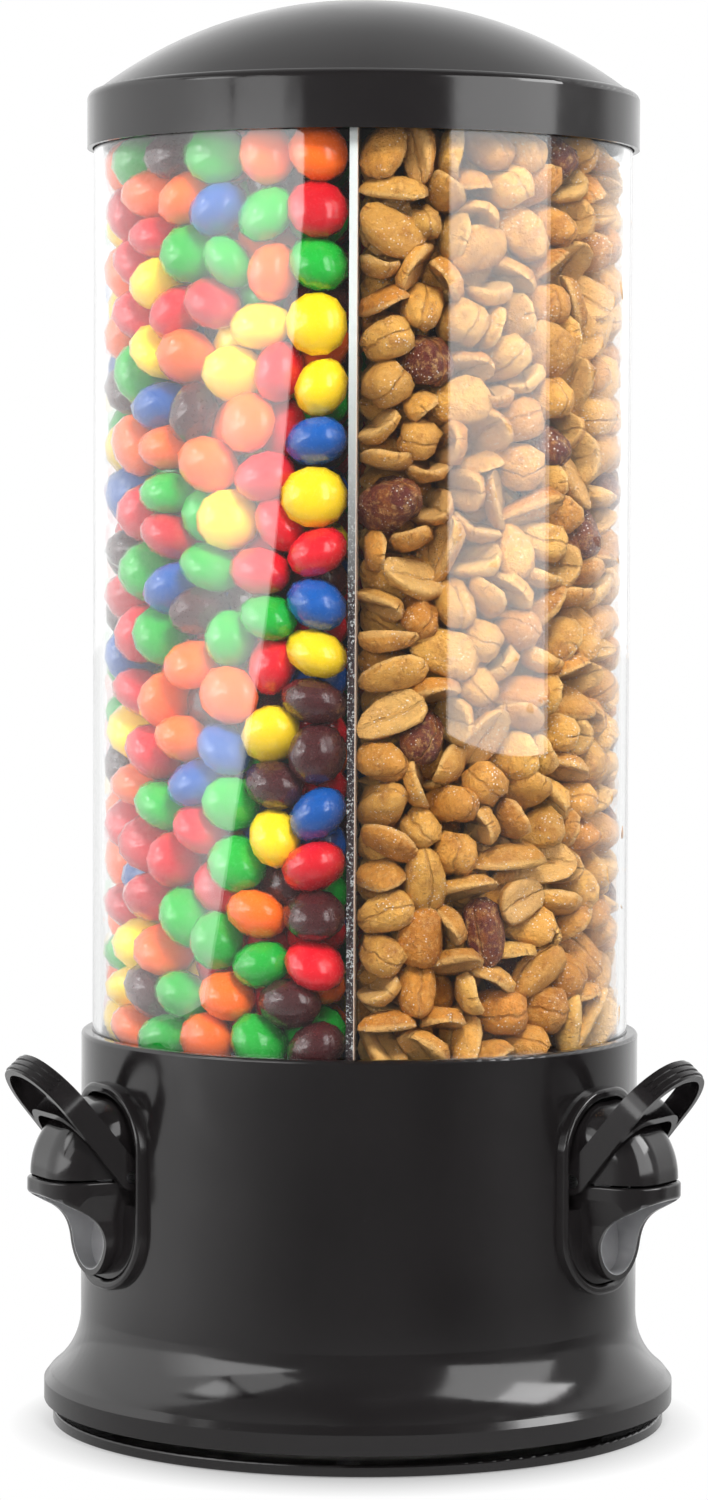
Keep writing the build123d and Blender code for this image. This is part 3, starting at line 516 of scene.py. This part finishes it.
def roasted_peanut(name, seam_axis):
    """Roasted peanuts: the tone comes from each nut, with browned spots, veins, salt and a seam.

    The seam is where one of the nut's own coordinates is near 0. On a split nut it is the crease
    in the flat face, so it stops short of the dome above. The seam is darkened towards the toasted
    brown as painted shade, and a bump dents it.
    """
    tree = Tree(name)
    where = tree.object_coordinates()
    tone = tree.add("Attribute", {"attribute_name": "nut_colour"}).outputs["Color"]
    place = tree.add("Attribute", {"attribute_name": "nut_place"}).outputs["Vector"]
    split = tree.add("SeparateXYZ", Vector=place)
    wander = tree.ranged(tree.noise(150, 2.0, 0.5, where), 0.3, 0.7, -0.14, 0.14)
    off = tree.math("ABSOLUTE", tree.math("ADD", split.outputs[seam_axis], wander))
    seam = tree.ranged(off, 0.02, 0.1, 1.0, 0.0)
    if seam_axis == "Y":
        seam = tree.math("MULTIPLY", seam, tree.ranged(split.outputs["Z"], 0.15, 0.3, 1.0, 0.0))
    toasted_and_seam_shade = tree.ranged(tree.noise(210, 4.0, 0.7, where), 0.48, 0.7, 0.0, 0.75)
    # Painted shade: the seam darkens half as much as a toasted spot.
    toasted_and_seam_shade = tree.math("MAXIMUM", toasted_and_seam_shade, tree.math("MULTIPLY", seam, 0.5))
    shade = tree.mixed(toasted_and_seam_shade, tone, TOASTED_AND_SEAM_SHADE)
    if seam_axis == "Y":
        inner = tree.ranged(split.outputs["Z"], -0.2, -0.05, 0.45, 0.0)
        shade = tree.mixed(inner, shade, INNER_FACE)
    veins = tree.ranged(tree.noise(620, 4.0, 0.75, where), 0.5, 0.68, 0.0, 0.45)
    shade = tree.mixed(veins, shade, VEINS)
    grains = tree.add("TexVoronoi", Vector=where, Scale=1150.0, Randomness=1.0).outputs["Distance"]
    salt = tree.ranged(grains, 0.16, 0.26, 0.75, 0.0)
    scatter = tree.ranged(tree.noise(170, 2.0, 0.5, where), 0.47, 0.6, 0.0, 1.0)
    salted = tree.math("MULTIPLY", salt, scatter)
    shade = tree.mixed(salted, shade, SALT)
    coarse = tree.noise(330, 5.0, 0.8, where)
    normal = tree.bump(coarse, 0.0022, 1.0)
    normal = tree.bump(tree.noise(1700, 3.0, 0.7, where), 0.0005, 0.9, normal)
    normal = tree.bump(tree.math("SUBTRACT", 1.0, seam), 0.0006, 0.8, normal)
    shader = tree.add(
        "BsdfPrincipled",
        Base_Color=shade,
        Roughness=tree.ranged(coarse, 0.3, 0.7, 0.36, 0.6),
        IOR=1.45,
        Normal=normal,
    )
    return tree.show(shader)


def mesh_piece(name, points, faces, material, smooth=True):
    """Object at the origin from an array of points and a list of face arrays."""
    mesh = bpy.data.meshes.new(name)
    corners = np.concatenate([f.ravel() for f in faces]).astype(np.int32)
    sizes = np.concatenate([np.full(len(f), f.shape[1], np.int32) for f in faces])
    starts = np.concatenate([[0], np.cumsum(sizes)[:-1]]).astype(np.int32)
    mesh.vertices.add(len(points))
    mesh.vertices.foreach_set("co", points.astype(np.float32).ravel())
    mesh.loops.add(len(corners))
    mesh.loops.foreach_set("vertex_index", corners)
    mesh.polygons.add(len(sizes))
    mesh.polygons.foreach_set("loop_start", starts)
    mesh.polygons.foreach_set("use_smooth", np.full(len(sizes), smooth))
    mesh.update(calc_edges=True)
    mesh.validate()
    piece = bpy.data.objects.new(name, mesh)
    bpy.context.scene.collection.objects.link(piece)
    mesh.materials.append(material)
    return piece


def paint_points(piece, attribute, colours):
    """Colour attribute with one colour for each point."""
    layer = piece.data.attributes.new(attribute, "FLOAT_COLOR", "POINT")
    rgba = np.concatenate([colours, np.ones((len(colours), 1))], axis=1)
    layer.data.foreach_set("color", rgba.astype(np.float32).ravel())


def rounded_block(steps):
    """Unit ball as a cube of steps x steps squares a side, each point moved out to radius 1."""
    line = np.tan(np.linspace(-pi / 4, pi / 4, steps + 1))
    a, b = np.meshgrid(line, line, indexing="ij")
    one = np.ones_like(a)
    sides = [(one, a, b), (-one, b, a), (b, one, a), (a, -one, b), (a, b, one), (b, a, -one)]
    points = np.concatenate([np.stack(side, -1).reshape(-1, 3) for side in sides])
    points /= np.linalg.norm(points, axis=1, keepdims=True)
    n = steps + 1
    i, j = np.meshgrid(np.arange(steps), np.arange(steps), indexing="ij")
    quad = np.stack([i * n + j, (i + 1) * n + j, (i + 1) * n + j + 1, i * n + j + 1], -1).reshape(-1, 4)
    quads = np.concatenate([quad + k * n * n for k in range(6)])
    _, first, back = np.unique(np.round(points, 5), axis=0, return_index=True, return_inverse=True)
    return points[first], back.ravel()[quads]


def split_peanut(around, along, wave):
    """Half a peanut: a lumpy oval dome over a grooved flat face, between two pole points.

    At share t of the length x = -cos(pi t), and the half width is sin(pi t)**0.62, a little less
    towards the tip, with slow waves along and round it. Round the section y = width cos(a).
    Above, z is width |sin(a)|**0.8. Below, z is a flat face with a dent along its middle, y = 0.
    The nut bends sideways with x**2 and sits 0.3 lower, so that its middle is near the origin.
    """
    t = np.linspace(*RING_ENDS, along)[:, None]
    a = (np.arange(around) / around * 2 * pi)[None, :]
    x = -np.cos(pi * t)
    width = np.sin(pi * t) ** 0.62 * (1 - 0.16 * x)
    lumps = 1 + 0.09 * np.sin(3 * a + wave) * np.sin(2 * pi * t + wave)
    lumps = lumps + 0.05 * np.cos(5 * a - 7 * t + wave)
    y = width * lumps * np.cos(a)
    dome = width * lumps * np.abs(np.sin(a)) ** 0.8
    groove = np.exp(-((y / 0.45) ** 2)) * np.sin(pi * t) ** 0.5
    flat = -0.22 * width + 0.42 * width * groove
    z = np.where(np.sin(a) > -0.01, dome, flat) - 0.3
    bend = 0.22 * (x**2 - 0.4) * sin(wave)
    rings = np.stack([np.broadcast_to(x, y.shape), y + bend, z], -1).reshape(-1, 3)
    end_bend = 0.6 * 0.22 * sin(wave)
    ends = [[-1.0, end_bend, -0.25], [1.03, end_bend, -0.25]]
    return np.concatenate([rings, ends]), *ring_faces(around, along)


def whole_peanut(around, along, wave):
    """Whole peanut: a lumpy oval body with a seam round it and a blunt tip.

    At share t of the length x = -cos(pi t), and the half width is sin(pi t)**0.65, with slow waves
    along and round it. Round the section y = width cos(a) and z = width sin(a), and the seam is a
    dip of 0.16 of the width where sin(a) is 0.
    """
    t = np.linspace(*RING_ENDS, along)[:, None]
    a = (np.arange(around) / around * 2 * pi)[None, :]
    x = -np.cos(pi * t)
    lumps = 1 + 0.07 * np.sin(2 * a + wave) * np.cos(3 * pi * t + wave) + 0.05 * np.cos(4 * a + 6 * t)
    width = np.sin(pi * t) ** 0.65 * (1 - 0.14 * x) * lumps
    width = width * (1 - 0.16 * np.exp(-((np.sin(a) / 0.28) ** 2)))
    rings = np.stack([np.broadcast_to(x, width.shape), width * np.cos(a), width * np.sin(a)], -1)
    points = np.concatenate([rings.reshape(-1, 3), [[-1.0, 0, 0], [1.06, 0, 0]]])
    return points, *ring_faces(around, along)


def ring_faces(around, along):
    """Faces of rings between two pole points: quads between rings and triangles at the poles."""
    i, j = np.meshgrid(np.arange(along - 1), np.arange(around), indexing="ij")
    k = (j + 1) % around
    quads = np.stack([i * around + j, i * around + k, (i + 1) * around + k, (i + 1) * around + j], -1)
    near, far = along * around, along * around + 1
    j = np.arange(around)
    k = (j + 1) % around
    first = np.stack([np.full(around, near), k, j], -1)
    last = (along - 1) * around
    second = np.stack([np.full(around, far), last + j, last + k], -1)
    return quads.reshape(-1, 4), np.concatenate([first, second])


class Compartment:
    """Room between two vanes of the divider, inside the tube, over the hopper floor."""

    def __init__(self, side):
        self.wall = TUBE_HIGH.x - TUBE_WALL - SIDE_PLAY
        self.low_edge = TUBE_LOW.z
        self.apex = FLOOR_HIGH.z
        self.top = DIVIDER_HIGH.z - TOP_PLAY
        self.offset = HALF_VANE + SIDE_PLAY
        self.middle = radians(SIDES[side])
        first, second = radians(SIDES[side] - SPAN / 2), radians(SIDES[side] + SPAN / 2)
        self.normals = np.array([[-sin(first), cos(first), 0], [sin(second), -cos(second), 0]])

    def floor(self, radius):
        """Height of the low cone at a radius, and the play over it."""
        return self.apex + (self.low_edge - self.apex) * radius / TUBE_HIGH.x + CONE_PLAY

    def scatter(self, count, random, margin):
        """Points spread evenly through the room: the first count of four times as many tries."""
        tries = count * 4
        angle = self.middle + (random.random(tries) - 0.5) * radians(SPAN)
        radius = np.sqrt(random.random(tries)) * (self.wall - margin)
        height = self.apex + margin + random.random(tries) * (self.top - self.apex - 2 * margin)
        points = np.stack([radius * np.cos(angle), radius * np.sin(angle), height], -1)
        inside = np.all(points @ self.normals.T > self.offset + margin, axis=1)
        return points[inside][:count]

    def push_in(self, points, axes, sizes):
        """Move each ellipsoid back inside the walls, the floor and the top."""
        for normal in self.normals:
            need = self.offset + reach(axes, sizes, np.broadcast_to(normal, points.shape))
            short = np.maximum(need - points @ normal, 0)
            points += short[:, None] * normal
        radius = np.maximum(np.linalg.norm(points[:, :2], axis=1), 1e-6)
        outward = np.zeros_like(points)
        outward[:, :2] = points[:, :2] / radius[:, None]
        over = np.maximum(radius + reach(axes, sizes, outward) - self.wall, 0)
        points -= over[:, None] * outward
        up = reach(axes, sizes, np.broadcast_to(np.array([0.0, 0.0, 1.0]), points.shape))
        radius = np.linalg.norm(points[:, :2], axis=1)
        points[:, 2] = np.clip(points[:, 2], self.floor(radius) + up, self.top - up)
        return points


def reach(axes, sizes, directions):
    """How far an ellipsoid stands out along a direction: sqrt(sum((size * axis . n)**2))."""
    along = np.einsum("nij,nj->ni", axes, directions)
    return np.sqrt(np.sum((sizes * along) ** 2, axis=1))


def radius_along(axes, sizes, directions):
    """Radius of an ellipsoid along a direction: 1 / sqrt(sum((axis . n / size)**2))."""
    along = np.einsum("nij,nj->ni", axes, directions)
    return 1 / np.sqrt(np.sum((along / sizes) ** 2, axis=1))


def random_frames(count, random):
    """Random turns as rows of unit axes, by the QR form of normal numbers."""
    frames, _ = np.linalg.qr(random.normal(size=(count, 3, 3)))
    frames[np.linalg.det(frames) < 0] *= -1
    return frames


def settle(room, sizes, random):
    """Push ellipsoids apart until they share the room.

    Each round moves every overlapping pair apart along the line of centres, by nearly half their
    overlap each, turns long axes away from that line and flat sides towards it, and then moves all
    back inside the walls. Near pairs are listed anew every few rounds.
    """
    points = room.scatter(len(sizes), random, float(sizes.min()) * 0.8)
    sizes = sizes[: len(points)]
    axes = random_frames(len(points), random)
    longest = 2.0 * sizes.max()
    signs = np.array([-1.0, 0.0, 1.0])
    for step in range(ROUNDS):
        if step % ROUNDS_A_LIST == 0:
            gaps = np.linalg.norm(points[:, None] - points[None], axis=2)
            first, second = np.nonzero(np.triu(gaps < longest * NEAR_PAIR, 1))
        line = points[second] - points[first]
        gap = np.maximum(np.linalg.norm(line, axis=1), 1e-7)
        line /= gap[:, None]
        near = radius_along(axes[first], sizes[first], line)
        far = radius_along(axes[second], sizes[second], line)
        overlap = np.maximum(near + far - gap, 0)
        push = PUSHED * overlap[:, None] * line
        shift = np.zeros_like(points)
        np.add.at(shift, first, -push)
        np.add.at(shift, second, push)
        points += shift
        turn = np.zeros_like(axes)
        strength = TURNED * overlap / sizes.min()
        for ends in (first, second):
            pull = np.einsum("nij,nj->ni", axes[ends], line) * strength[:, None]
            np.add.at(turn, ends, (pull * signs)[:, :, None] * line[:, None, :])
        axes = squared(axes + np.clip(turn, -MOST_TURN, MOST_TURN))
        points = room.push_in(points, axes, sizes)
    return points, axes, sizes


def squared(axes):
    """Rows made unit and square to each other again, the first keeping its direction."""
    first = axes[:, 0] / np.linalg.norm(axes[:, 0], axis=1, keepdims=True)
    third = axes[:, 2] - np.sum(axes[:, 2] * first, axis=1, keepdims=True) * first
    third /= np.linalg.norm(third, axis=1, keepdims=True)
    second = np.cross(third, first)
    return np.stack([first, second, third], axis=1)


def copies(unit, faces, points, axes, sizes):
    """One array of points and faces from a unit shape put at each place, turned and sized."""
    shaped = unit[None] * sizes[:, None, :]
    placed = np.einsum("nvk,nkj->nvj", shaped, axes) + points[:, None]
    step = (np.arange(len(points)) * len(unit))[:, None, None]
    return placed.reshape(-1, 3), [(f[None] + step).reshape(-1, f.shape[1]) for f in faces]


def varied_sizes(settings, spread, random):
    """Half sizes of every sweet or peanut, varied by a share of themselves."""
    half = np.array([settings.length, settings.width, settings.height]) / 2
    return half[None] * (1 + random.normal(0, spread, (settings.count, 3)))


def sweet_colours(settings, count, random):
    """Coating colour of each sweet, by the shares of the six colours."""
    colours = np.array([tuple(getattr(settings, name)) for name in SWEET_SHARES])
    shares = np.array(list(SWEET_SHARES.values()))
    chosen = colours[random.choice(len(colours), count, p=shares / shares.sum())]
    return np.clip(chosen * (1 + random.normal(0, SWEET_COLOUR_SPREAD, (count, 1))), 0, 1)


def nut_tones(settings, count, whole, random):
    """Tone of each nut between roasted and pale, and red-brown skin on a few whole ones."""
    share = random.random(count)[:, None]
    tones = np.array(tuple(settings.roasted)) * (1 - share) + np.array(tuple(settings.pale)) * share
    tones = tones * (1 + random.normal(0, NUT_COLOUR_SPREAD, (count, 1)))
    skinned = whole & (random.random(count) < SKINNED_SHARE)
    tones[skinned] = np.array(tuple(settings.skin))
    return np.clip(tones, 0, 1)


def finish_node(name, material):
    """Put one material on a construction node."""
    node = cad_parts[name]
    if not node.material_slots:
        node.data.materials.append(material)
    for slot in node.material_slots:
        slot.link = "OBJECT"
        slot.material = material


class DISPENSER_OT_black_mouldings(bpy.types.Operator):
    """Give the black mouldings their gloss plastic and the scoops a satin one"""

    bl_idname = "dispenser.black_mouldings"
    bl_label = "Black mouldings"

    def execute(self, context):
        settings = context.scene.dispenser_plastic
        finish = (tuple(settings.colour), settings.gloss, settings.ripple)
        black = gloss_black("gloss_black", *finish)
        names = ["base_housing", "bottom_cover", "foot_disc", "hopper_floor", "lid"]
        names += [f"{part}_{side}" for part in ("hood", "lever") for side in SIDES]
        for name in names:
            finish_node(name, black)
        for side, degrees in SIDES.items():
            finish_node(f"spout_{side}", gloss_black(f"spout_black_{side}", *finish, degrees))
        satin = satin_plastic("satin_scoop", tuple(settings.scoop_colour), 0.42)
        for side in SIDES:
            finish_node(f"scoop_{side}", satin)
        return {"FINISHED"}


class DISPENSER_OT_clear_parts(bpy.types.Operator):
    """Give the tube and the divider their clear plastic"""

    bl_idname = "dispenser.clear_parts"
    bl_label = "Clear parts"

    def execute(self, context):
        settings = context.scene.dispenser_clear
        finish = (tuple(settings.tint), settings.index, settings.haze)
        finish_node("clear_tube", tube_plastic("clear_tube_wall", finish))
        finish_node("divider", vane_plastic("clear_divider", finish))
        return {"FINISHED"}


class DISPENSER_OT_hardware(bpy.types.Operator):
    """Give the axles, springs, balls, bolt, screws and mat their finishes"""

    bl_idname = "dispenser.hardware"
    bl_label = "Hardware"

    def execute(self, context):
        steel = metal("bright_steel", (0.62, 0.62, 0.63), 0.3, 12)
        balls = metal("ball_steel", (0.8, 0.8, 0.82), 0.08, 1)
        for name in ["pivot_bolt", "pivot_washer", "pivot_nut", "cover_screws"]:
            finish_node(name, steel)
        for side in SIDES:
            finish_node(f"axle_{side}", steel)
            finish_node(f"spring_{side}", steel)
        finish_node("bearing_balls", balls)
        finish_node("ball_cage", satin_plastic("natural_nylon", (0.7, 0.68, 0.62), 0.5))
        finish_node("foot_mat", rubber("mat_rubber"))
        return {"FINISHED"}


class DISPENSER_OT_sweets(bpy.types.Operator):
    """Fill the left and rear compartments with coated sweets"""

    bl_idname = "dispenser.sweets"
    bl_label = "Sweets"

    def execute(self, context):
        settings = context.scene.dispenser_sweets
        material = coated_sugar("coated_sugar")
        unit, quads = rounded_block(3)
        for side, seed in SWEET_SEEDS.items():
            random = np.random.default_rng(seed)
            sizes = varied_sizes(settings, SWEET_SIZE_SPREAD, random)
            points, axes, sizes = settle(Compartment(side), sizes, random)
            mesh_points, faces = copies(unit, [quads], points, axes, sizes)
            piece = mesh_piece(f"sweets_{side}", mesh_points, faces, material)
            colours = sweet_colours(settings, len(points), random)
            paint_points(piece, "shell_colour", np.repeat(colours, len(unit), axis=0))
            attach(piece, "dispenser")
        return {"FINISHED"}


class DISPENSER_OT_nuts(bpy.types.Operator):
    """Fill the right compartment with roasted peanuts"""

    bl_idname = "dispenser.nuts"
    bl_label = "Peanuts"

    def execute(self, context):
        settings = context.scene.dispenser_nuts
        random = np.random.default_rng(NUT_SEED)
        whole = random.random(settings.count) < WHOLE_SHARE
        sizes = varied_sizes(settings, NUT_SIZE_SPREAD, random)
        sizes[whole, 2] = sizes[whole, 1] * WHOLE_HEIGHT
        points, axes, sizes = settle(Compartment("right"), sizes, random)
        whole = whole[: len(points)]
        flipped = random.random(len(points)) < 0.5
        axes[flipped, 1:] *= -1
        tones = nut_tones(settings, len(points), whole, random)
        creased = roasted_peanut("split_peanut", "Y")
        seamed = roasted_peanut("whole_peanut", "Z")
        sort = random.integers(0, NUT_SHAPES, len(points))
        for number in range(NUT_SHAPES):
            for name, shape, material, mask in (
                ("split", split_peanut, creased, ~whole & (sort == number)),
                ("whole", whole_peanut, seamed, whole & (sort == number)),
            ):
                unit, *faces = shape(NUT_RING, NUT_RINGS, 2.1 * number + 0.4)
                mesh_points, placed = copies(unit, faces, points[mask], axes[mask], sizes[mask])
                piece = mesh_piece(f"{name}_peanuts_{number + 1}", mesh_points, placed, material)
                paint_points(piece, "nut_colour", np.repeat(tones[mask], len(unit), axis=0))
                paint_points(piece, "nut_place", np.tile(unit, (mask.sum(), 1)))
                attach(piece, "dispenser")
        return {"FINISHED"}


def panel(name, corners, strength_of):
    """Light panel from its corners, which only mirrors and glass see.

    strength_of makes its strength, a number or a socket, from its node tree.
    """
    tree = Tree(name)
    material = tree.show(tree.add("Emission", Strength=strength_of(tree)))
    face = np.arange(len(corners))[None]
    piece = mesh_piece(name, np.array(corners, float), [face], material, smooth=False)
    piece.visible_camera = False
    piece.visible_diffuse = False


def facing_panel(name, centre, half_side, radiance):
    """Square panel that faces the object and fades out towards its edges."""
    centre = np.array(centre, float)
    back = centre / np.linalg.norm(centre)
    across = np.cross([0, 0, 1.0], back)
    across /= np.linalg.norm(across)
    up = np.cross(back, across)
    signs = ((-1, -1), (1, -1), (1, 1), (-1, 1))
    corners = [centre + a * half_side * across + b * half_side * up for a, b in signs]

    def faded(tree):
        spread = tree.length(tree.object_coordinates(), tuple(centre))
        return tree.ranged(spread, 0.55 * half_side, half_side, radiance, 0.0)

    panel(name, corners, faded)


def studio_floor():
    """Large white floor, shaded under the foot.

    Its mirror image is dark in front and bright at the left and behind, and for soft light between
    surfaces it is plain and pale.
    """
    tree = Tree("pale_floor")
    where = tree.object_coordinates()
    pale = tree.mixed(tree.noise(3.0, vector=where), (0.78, 0.78, 0.78), (0.76, 0.76, 0.76))
    plain = tree.add("BsdfDiffuse", Color=pale)
    shaded = tree.add("BsdfDiffuse", Color=(0.3, 0.3, 0.3, 1))
    white = tree.add("Emission", Strength=1.0)
    # The shade lies a little in front of the foot's middle and is narrower along X.
    from_foot = tree.length(where, (0, -0.006, 0), (1.06, 1, 0))
    seen = tree.blend(tree.ranged(from_foot, *FOOT_SHADOW, 0.0, 1.0), shaded, white)
    around = tree.round_about(where, FLOOR_MIRRORED)
    outer = tree.ranged(tree.length(where), *MIRRORED_NEAR, 0.0, 1.0)
    mirrored = tree.add("Emission", Color=tree.mixed(outer, (0.55, 0.55, 0.55), around), Strength=1.12)
    path = tree.add("LightPath")
    bounced = tree.math("MAXIMUM", path.outputs["Is Glossy Ray"], path.outputs["Is Transmission Ray"])
    surface = tree.blend(bounced, seen, mirrored)
    surface = tree.blend(path.outputs["Is Diffuse Ray"], surface, plain)
    corners = FLOOR_REACH * np.array([[-1, -1, 0], [1, -1, 0], [1, 1, 0], [-1, 1, 0]])
    floor = mesh_piece("floor", corners, [np.array([[0, 1, 2, 3]])], tree.show(surface), smooth=False)


def studio_world():
    """White backdrop; for mirrors and lamps it is dark in front and bright behind."""
    tree = Tree("studio", bpy.data.worlds, "OutputWorld")
    bpy.context.scene.world = tree.material
    white = tree.add("Background", Color=(1, 1, 1, 1), Strength=1.0)
    where = tree.object_coordinates()
    height = tree.add("SeparateXYZ", Vector=where).outputs["Z"]
    strength = tree.ranged(height, 0.35, 0.75, 1.3, 0.75)
    dim = tree.add("Background", Color=tree.round_about(where, SURROUND_MIRRORED), Strength=strength)
    path = tree.add("LightPath")
    tree.show(tree.blend(path.outputs["Is Camera Ray"], dim, white))


def left_strength(tree, radiance):
    """The left panel is brighter towards the front, most of all in the part that the tube mirrors.

    That part lies below a slope that rises away from the axis, because the camera looks up at it.
    """
    where = tree.object_coordinates()
    split = tree.add("SeparateXYZ", Vector=where)
    rise = tree.math("MULTIPLY", tree.length(where, stretch=(1, 1, 0)), BRIGHT_RISE)
    below = tree.math("LESS_THAN", tree.math("SUBTRACT", split.outputs["Z"], rise), BRIGHT_HEIGHT)
    forward = tree.ranged(split.outputs["Y"], -0.4, -0.1, 0.9, 0.0)
    plain = tree.ranged(split.outputs["Y"], -0.6, 0.5, radiance, 0.5 * radiance)
    return tree.math("MULTIPLY", plain, tree.math("ADD", 1.0, tree.math("MULTIPLY", below, forward)))


def soft_light(name, place, aim, size, power):
    """Square area light that points from its place at an aim, and that mirrors don't show."""
    light = bpy.data.lights.new(name, "AREA")
    light.size = size
    light.energy = power
    lamp = bpy.data.objects.new(name, light)
    lamp.visible_glossy = False
    lamp.visible_transmission = False
    bpy.context.scene.collection.objects.link(lamp)
    z = np.array(place, float) - np.array(aim, float)
    z /= np.linalg.norm(z)
    x = np.cross([0, 0, 1.0], z)
    x /= np.linalg.norm(x)
    columns = np.eye(4)
    columns[:3] = np.stack([x, np.cross(z, x), z, place], axis=1)
    lamp.matrix_world = Matrix(columns)


class DISPENSER_OT_studio(bpy.types.Operator):
    """Set the floor, the surround, the lights and the camera"""

    bl_idname = "dispenser.studio"
    bl_label = "Studio"

    def execute(self, context):
        settings = context.scene.dispenser_studio
        studio_floor()
        studio_world()
        outline = [(1.1, 0.95), (1.1, 0.02), (-0.35, 0.02), (-0.6, 0.087), (-1.08, 0.19), (-1.8, 0.41)]
        outline += [(-1.8, 0.455), (-1.28, 0.42), (-1.85, 0.95)]
        left = [(-0.75, y, z) for y, z in outline]
        panel("left_panel", left, lambda tree: left_strength(tree, settings.left_panel))
        right = [(0.62, -0.8, 0.12), (0.8, -0.07, 0.12), (0.8, -0.07, 0.95), (0.62, -0.8, 0.95)]
        panel("right_panel", right, lambda tree: settings.right_panel)
        upper = [(0.75, -0.32, 0.43), (0.75, 0.14, 0.43), (0.75, 0.14, 0.86), (0.75, -0.32, 0.86)]
        panel("upper_right_panel", upper, lambda tree: settings.upper_right)
        facing_panel("upper_left_panel", (-0.73, -0.34, 0.56), 0.24, settings.upper_left)
        soft_light("key_light", (0.22, -0.95, 1.15), (0, 0, 0.18), 0.4, settings.key_light)
        soft_light("front_fill", (-0.3, -1.7, 0.5), (0, 0, 0.16), 0.6, settings.front_fill)
        camera = bpy.data.cameras.new("camera")
        camera.sensor_width = 36
        camera.lens = settings.lens
        camera.shift_x = settings.shift
        camera.clip_start = 0.05
        eye = bpy.data.objects.new("camera", camera)
        context.scene.collection.objects.link(eye)
        yaw, distance = settings.yaw, settings.distance
        turn = Matrix.Rotation(yaw, 4, "Z") @ Matrix.Rotation(pi / 2 - settings.pitch, 4, "X")
        turn = turn @ Matrix.Rotation(settings.roll, 4, "Z")
        place = (distance * sin(yaw), -distance * cos(yaw), settings.height)
        eye.matrix_world = Matrix.Translation(place) @ turn
        context.scene.camera = eye
        context.scene.view_settings.view_transform = "Standard"
        return {"FINISHED"}


class DISPENSER_PT_sidebar(bpy.types.Panel):
    """Lists every step of the dispenser's looks"""

    bl_label = "Candy dispenser"
    bl_idname = "DISPENSER_PT_sidebar"
    bl_space_type = "VIEW_3D"
    bl_region_type = "UI"
    bl_category = "Dispenser"

    def draw(self, context):
        for operator in OPERATORS:
            self.layout.operator(operator.bl_idname)
        for name in SETTINGS:
            group = getattr(context.scene, name)
            box = self.layout.box()
            for key in group.__annotations__:
                box.prop(group, key)


SETTINGS = {
    "dispenser_plastic": PlasticSettings,
    "dispenser_clear": ClearSettings,
    "dispenser_sweets": SweetsSettings,
    "dispenser_nuts": NutsSettings,
    "dispenser_studio": StudioSettings,
}
OPERATORS = (
    DISPENSER_OT_black_mouldings,
    DISPENSER_OT_clear_parts,
    DISPENSER_OT_hardware,
    DISPENSER_OT_sweets,
    DISPENSER_OT_nuts,
    DISPENSER_OT_studio,
)
CLASSES = (*SETTINGS.values(), *OPERATORS, DISPENSER_PT_sidebar)


def register():
    """Register the classes and hang the settings on the scene."""
    for cls in CLASSES:
        bpy.utils.register_class(cls)
    for name, group in SETTINGS.items():
        setattr(bpy.types.Scene, name, PointerProperty(type=group))


def unregister():
    """Undo register."""
    for name in SETTINGS:
        delattr(bpy.types.Scene, name)
    for cls in reversed(CLASSES):
        bpy.utils.unregister_class(cls)


def main():
    """Run every step in order."""
    register()
    bpy.ops.dispenser.black_mouldings()
    bpy.ops.dispenser.clear_parts()
    bpy.ops.dispenser.hardware()
    bpy.ops.dispenser.sweets()
    bpy.ops.dispenser.nuts()
    bpy.ops.dispenser.studio()


if __name__ == "__main__":
    main()
